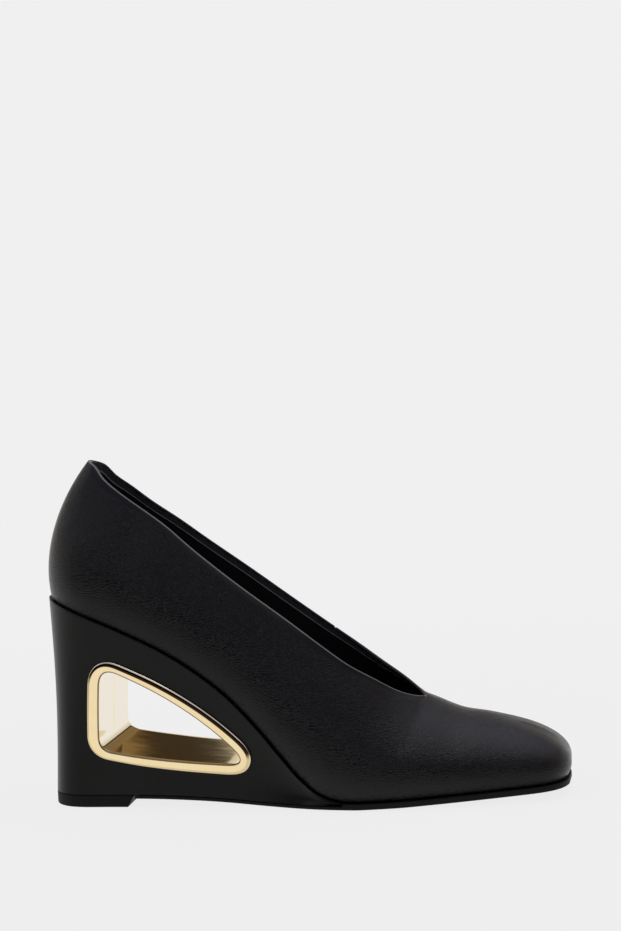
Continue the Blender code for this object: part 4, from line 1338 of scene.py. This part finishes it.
@dataclass
class WindowFrame:
    """The polished frame: a tunnel through the wedge with a bezel lying on each flank."""

    window: Window
    wall: float = 0.0014
    face: float = 0.0034
    bevel: float = 0.0021
    stand: float = 0.0016
    lip: float = 0.0007
    tunnel_rows: int = 14
    lip_rows: int = 9
    flat_rows: int = 5
    fall_rows: int = 14
    painted_highlight_row: int = 9
    finish: GoldFinish = GoldFinish("polished_gold")

    def section(self) -> tuple[Array, Array, Array]:
        """Half of the frame's section, from the middle of the tunnel to the middle of its outer face.

        It runs along the tunnel, round the lip in a quarter circle, over the flat face, down the outer
        edge in a quarter ellipse and back under the flange.

        Returns:
            Outward reach at each of the outline's points, height above the flank, and share of the way
            across to the flank.
        """
        face = self.face * self.window.breadths(self.window.faces)
        bevel = self.bevel * self.window.breadths(self.window.bevels)
        across = np.linspace(0.0, 1.0, self.tunnel_rows + 1)[:-1]
        below, round_out = quarter_round(self.lip, self.lip_rows)
        fall = np.linspace(0.0, math.pi / 2, self.fall_rows + 1)[:-1]
        flat = np.linspace(0.0, 1.0, self.flat_rows + 2)[1:-1, None]
        reach = np.concatenate(
            [
                0 * across[:, None] * face,
                round_out[:, None] + 0 * face,
                self.lip + (face - self.lip) * flat,
                face + bevel * np.sin(fall)[:, None],
                [face + bevel, face + bevel, self.wall + 0 * face, self.wall + 0 * face],
            ]
        )
        low = FORM.gap
        edge = low + self.lip / 2
        stand = np.concatenate(
            [
                (self.stand - self.lip) * across,
                self.stand - below,
                np.full(self.flat_rows, self.stand),
                edge + (self.stand - low - self.lip / 2) * np.cos(fall),
                [edge, low, low, 0.0],
            ]
        )
        share = np.concatenate([across, np.ones(len(stand) - len(across) - 1), [0.0]])
        return reach, stand, share

    def tones(self, places: Array) -> tuple[Array, Array]:
        """Where dark reflections are painted, on the lip and the outer edge, and where highlights are
        painted.

        The painted dark reflection of the outer edge is strongest above the window. The tunnel's rear wall
        and the last rows down the outer edge get painted highlights.

        Args:
            places: x and z of every point, as (rows, points round, 2).

        Returns:
            The painted dark reflections' share and the painted highlights' share, for every point.
        """
        outward = unit(places[-2] - places[0])
        upper = 0.25 + 0.75 * ease((outward[:, 1] + 0.05) / 0.45)
        fall = np.interp(np.arange(self.fall_rows), [0.0, 1.0, 7.0, self.painted_highlight_row], [0.0, 1.0, 1.0, 0.0])
        lip = np.interp(np.arange(self.lip_rows), [0.0, 2.0, 6.0, 8.0], [0.0, 0.8, 0.8, 0.0])
        flat = self.tunnel_rows + self.lip_rows
        edge = flat + self.flat_rows
        # painted dark reflections on the lip and down the outer edge
        dark = np.zeros(places.shape[:2])
        dark[self.tunnel_rows : flat] = lip[:, None]
        dark[edge : edge + self.fall_rows] = fall[:, None] * upper
        # painted highlights on the tunnel's rear wall and the outer edge's last rows
        pale = np.zeros(places.shape[:2])
        pale[: self.tunnel_rows] = ease((-outward[:, 0] - 0.5) / 0.4)
        pale[edge + self.painted_highlight_row :] = 1.0
        return dark, pale

    def build(self) -> None:
        """Carries the section round the window on both sides and joins the halves."""
        reach, stand, share = self.section()
        places = self.window.grown(reach)
        x, z = places[..., 0], places[..., 1]
        flanks = {side: FORM.flank(x, z, side.value) + side.value * stand[:, None] for side in Side}
        lateral, medial = (points_of(x, share[:, None] * flanks[side], z) for side in Side)
        both = np.concatenate([lateral, medial[::-1]])
        skin = Skin()
        # the frame's painted dark reflections and painted highlights, carried as marks
        dark, pale = self.tones(places)
        marks = {"dark": np.concatenate([dark, dark[::-1]]), "pale": np.concatenate([pale, pale[::-1]])}
        skin.add(both, True, None, marks)
        skin.add(np.stack([both[-1], both[0]]), True)
        skin.build("window_frame_gold", self.finish, "window_gold", "window_frame", 35.0)


@dataclass
class Outsole:
    """The thin outsole, stepped down under the wedge, with softened edges and an inset channel."""

    start: float = 0.0392
    edge_round: float = 0.0005
    top_round: float = 0.00035
    channel_inset: float = 0.0042
    channel_width: float = 0.0007
    channel_depth: float = 0.00035
    held_reach: float = 0.008
    finish: EdgeFinish = EdgeFinish("sole_edge")

    def build(self) -> None:
        """Stacks rings: the flat underside with its channel, the rounded edge, the side and the top.

        A ring is the foot outline drawn in by an inset, at the underside's height plus a lift. The lift
        of the top steps up where the wedge ends. The two closing sheets pair each lateral point with
        the medial point one place behind it, which leaves a stray face from the rear edge to the toe.
        """
        plan = FORM.foot_plan
        step = FORM.wedge_length + FORM.gap
        rear = places_between(plan, self.start, step, RING_STEP)
        front = places_between(plan, step + FORM.gap, FORM.length, RING_STEP)
        x = np.concatenate([rear, front])
        ring, side = ring_of(x, (False, True))
        thick = np.where(x[ring] < step + FORM.gap / 2, FORM.waist_sole, FORM.fore_sole)
        groove = self.channel_inset + self.channel_width * np.array([1.0, 0.85, 0.5, 0.15, 0.0])
        dip = self.channel_depth * np.array([0.0, 0.8, 1.0, 0.8, 0.0])
        low_inset, low_lift = quarter_round(self.edge_round)
        high_drop, high_inset = quarter_round(self.top_round)
        inset = np.concatenate([groove, low_inset, high_inset])[:, None]
        lift = np.concatenate([dip, low_lift, -high_drop])[:, None]
        on_top = (np.arange(len(lift)) >= len(groove) + len(low_lift))[:, None]
        out = plan.outward(x[ring], side)
        held = np.minimum(1.0, np.maximum(x[ring] - self.start, 0.0) / self.held_reach)
        drawn = np.where(inset > self.edge_round, inset * np.maximum(held, 0.05), inset)
        at_x = np.maximum(x[ring] - out[:, 0] * drawn, self.start)
        y = plan.y(x[ring], side) - out[:, 1] * drawn
        rows = points_of(at_x, y, FORM.sole_bottom(at_x) + on_top * thick + lift)
        skin = Skin()
        skin.add(rows, True)
        one_behind = np.roll(medial_of(len(x), (False, True)), 1)
        skin.close(rows, one_behind)
        skin.build("outsole_inked", self.finish, "sole_edge", "outsole")


@dataclass
class TopPiece:
    """The rubber block that the heel stands on, with a raked front."""

    rake: float = 0.0029
    low_round: float = 0.0003
    top_round: float = 0.00025
    ring_step: float = 0.0012
    finish: EdgeFinish = EdgeFinish(
        "top_piece_rubber", (0.0040, 0.0038, 0.0036), (0.0080, 0.0074, 0.0068), 0.58, 0.00035, 0.00004
    )

    def build(self) -> None:
        """Stacks rings with rounded edges; places ahead of the heel's round lean forward with height."""
        plan = FORM.foot_plan
        height, length, lean_start = FORM.top_piece_height, FORM.top_piece_length, FORM.heel_round[0]
        x = places_between(plan, 0.0, length, self.ring_step)
        ring, side = ring_of(x, (True, False))
        low_inset, low_lift = quarter_round(self.low_round)
        high_drop, high_inset = quarter_round(self.top_round)
        inset = np.concatenate([low_inset, high_inset])[:, None]
        level = np.concatenate([low_lift, height - high_drop])[:, None]
        out = plan.outward(x[ring], side)
        lean = self.rake * np.maximum(x[ring] - lean_start, 0.0) / (length - lean_start)
        at_x = x[ring] - out[:, 0] * inset + lean * level / height
        at_x = np.where(x[ring] > length - WELD, at_x - inset, at_x)
        y = plan.y(x[ring], side) - out[:, 1] * inset
        rows = points_of(at_x, y, level)
        skin = Skin()
        skin.add(rows, True)
        skin.close(rows, medial_of(len(x), (True, False)))
        skin.build("top_piece_block", self.finish, "top_piece_rubber", "top_piece")


@dataclass(frozen=True)
class Softbox:
    """A rectangular studio light of even brightness, turned to face a point."""

    name: str
    place: tuple[float, float, float]
    aim: tuple[float, float, float]
    size: tuple[float, float]
    brightness: float

    def build(self) -> None:
        """Adds the light; its power is brightness times area times pi."""
        data = bpy.data.lights.new(self.name, "AREA")
        data.shape = "RECTANGLE"
        data.size, data.size_y = self.size
        data.energy = self.brightness * self.size[0] * self.size[1] * math.pi
        light = bpy.data.objects.new(self.name, data)
        bpy.context.scene.collection.objects.link(light)
        light.location = self.place
        light.rotation_euler = (Vector(self.aim) - Vector(self.place)).to_track_quat("-Z", "Y").to_euler()
        light.visible_camera = False


@dataclass
class Studio:
    """Floor, surrounding light, softboxes and the camera."""

    front: Stops = (
        (0.00, (0.008, 0.006, 0.008)),
        (0.35, (0.008, 0.006, 0.008)),
        (0.46, (1.50, 1.47, 1.58)),
        (0.54, (1.15, 1.12, 1.24)),
        (0.66, (0.48, 0.47, 0.62)),
        (0.80, (0.34, 0.33, 0.46)),
        (0.95, (0.44, 0.43, 0.55)),
        (1.00, (1.20, 1.18, 1.14)),
    )
    behind: Stops = (
        (0.00, (0.85, 0.85, 0.85)),
        (0.10, (0.75, 0.73, 0.68)),
        (0.205, (0.62, 0.58, 0.48)),
        (0.218, (0.040, 0.028, 0.016)),
        (0.250, (0.036, 0.025, 0.014)),
        (0.260, (0.23, 0.150, 0.060)),
        (0.33, (0.17, 0.135, 0.10)),
        (0.45, (0.47, 0.46, 0.54)),
        (0.70, (0.82, 0.81, 0.96)),
        (0.90, (0.98, 0.97, 1.12)),
        (1.00, (1.15, 1.13, 1.18)),
    )
    ahead: Stops = (
        (0.00, (0.05, 0.05, 0.06)),
        (0.25, (0.10, 0.10, 0.12)),
        (0.50, (0.32, 0.315, 0.40)),
        (0.80, (0.44, 0.435, 0.56)),
        (1.00, (1.10, 1.08, 1.06)),
    )
    heel_side: Colour = (0.30, 0.26, 0.23)
    toe_side: Colour = (0.42, 0.28, 0.17)
    camera_place: tuple[float, float, float] = (0.1217, -0.7989, 0.17955)
    azimuth: float = 8.26
    elevation: float = 2.61
    roll: float = 2.68
    lens: float = 72.0
    sensor: float = 36.0
    floor_rings: tuple[float, ...] = (0.0001, 0.2, 0.5, 1.0, 2.0, 4.0, 8.0)
    floor_sides: int = 96
    floor_sink: float = 0.00005
    boxes: tuple[Softbox, ...] = (
        Softbox("overhead_softbox", (0.05, 0.10, 1.40), (0.0, 0.0, 0.05), (1.3, 0.7), 1.2),
        Softbox("heel_panel", (-1.30, 0.20, 0.40), (0.0, 0.0, 0.05), (0.8, 0.8), 0.5),
    )
    finish: FloorFinish = FloorFinish("pale_paper")

    def build_floor(self) -> None:
        """A round sheet of paper on the floor: rings of points at rising distances."""
        turns = np.linspace(0.0, 2 * math.pi, self.floor_sides + 1)[:-1]
        reach = np.array(self.floor_rings)[:, None]
        points = points_of(reach * np.cos(turns), reach * np.sin(turns), -self.floor_sink)
        index = np.arange(reach.size * turns.size).reshape(-1, turns.size)
        there = np.roll(index, -1, axis=1)
        quads = np.stack([index[:-1], index[1:], there[1:], there[:-1]], axis=-1).reshape(-1, 4)
        mesh = bpy.data.meshes.new("paper_floor")
        mesh.from_pydata(points.reshape(-1, 3).tolist(), [], quads.tolist() + [index[0].tolist()])
        mesh.materials.append(self.finish.make())
        floor = bpy.data.objects.new("paper_floor", mesh)
        bpy.context.scene.collection.objects.link(floor)

    def build_world(self) -> None:
        """Even pale paper where the camera sees past the shoe, and a studio for what the shoe reflects.

        In front it is dark at the horizon, with a bright soft band above and grey over that; ahead of
        the toe the band fades. Behind, it is bright at the horizon, with a narrow brown flag above and
        grey over that. Brown-grey panels close both ends.
        """
        world = bpy.data.worlds.new("studio")
        bpy.context.scene.world = world
        world.use_nodes = True
        shade = Shade(world.node_tree)
        way = shade.node("ShaderNodeTexCoord", output="Generated")
        x, y, z = (shade.axis(way, name) for name in ("X", "Y", "Z"))
        front, ahead, behind = (
            shade.node("ShaderNodeValToRGB", {"stops": stops}, {"Fac": z})
            for stops in (self.front, self.ahead, self.behind)
        )
        front = shade.blend(x.ease(0.12, 0.40), front, ahead)
        around = shade.blend(y.ease(-0.30, 0.30), front, behind)
        around = shade.blend(x.ease(-0.72, -0.94), around, self.heel_side)
        around = shade.blend(x.ease(0.72, 0.94), around, self.toe_side)
        seen = shade.node("ShaderNodeLightPath", output="Is Camera Ray")
        colour = shade.blend(seen, around, (PAPER_TONE,) * 3)
        background = shade.node("ShaderNodeBackground", None, {"Color": colour, "Strength": 1.0})
        shade.node("ShaderNodeOutputWorld", None, {"Surface": background})

    def build_camera(self) -> None:
        """The photograph's viewpoint: a long lens from the lateral side, a little above the sole."""
        a, e, r = (math.radians(v) for v in (self.azimuth, self.elevation, self.roll))
        level = Vector((math.cos(a), math.sin(a), 0.0))
        back = Vector((math.sin(a) * math.cos(e), -math.cos(a) * math.cos(e), math.sin(e)))
        up = Vector((-math.sin(a) * math.sin(e), math.cos(a) * math.sin(e), math.cos(e)))
        right = level * math.cos(r) - up * math.sin(r)
        top = level * math.sin(r) + up * math.cos(r)
        data = bpy.data.cameras.new("camera")
        data.lens, data.sensor_fit = self.lens, "VERTICAL"
        data.sensor_height = data.sensor_width = self.sensor
        data.clip_start, data.clip_end = 0.05, 50.0
        camera = bpy.data.objects.new("camera", data)
        bpy.context.scene.collection.objects.link(camera)
        turned = Matrix((right, top, back)).transposed().to_4x4()
        camera.matrix_world = Matrix.Translation(self.camera_place) @ turned
        bpy.context.scene.camera = camera

    def build(self) -> None:
        """Adds the whole studio and keeps the view's tones plain."""
        self.build_floor()
        self.build_world()
        for box in self.boxes:
            box.build()
        self.build_camera()
        bpy.context.scene.view_settings.view_transform = "Standard"
        bpy.context.scene.view_settings.look = "None"


def main() -> None:
    """Builds the shoe and the studio, and keeps the sizes of the CAD and of what is shown."""
    logging.basicConfig(level=logging.INFO, format="%(name)s %(message)s")
    window = Window()
    for part in (Upper(), Insole(), Wedge(window), WindowFrame(window), Outsole(), TopPiece()):
        part.build()
        LOG.info("built %s", type(part).__name__)
    Studio().build()


if __name__ == "__main__":
    main()
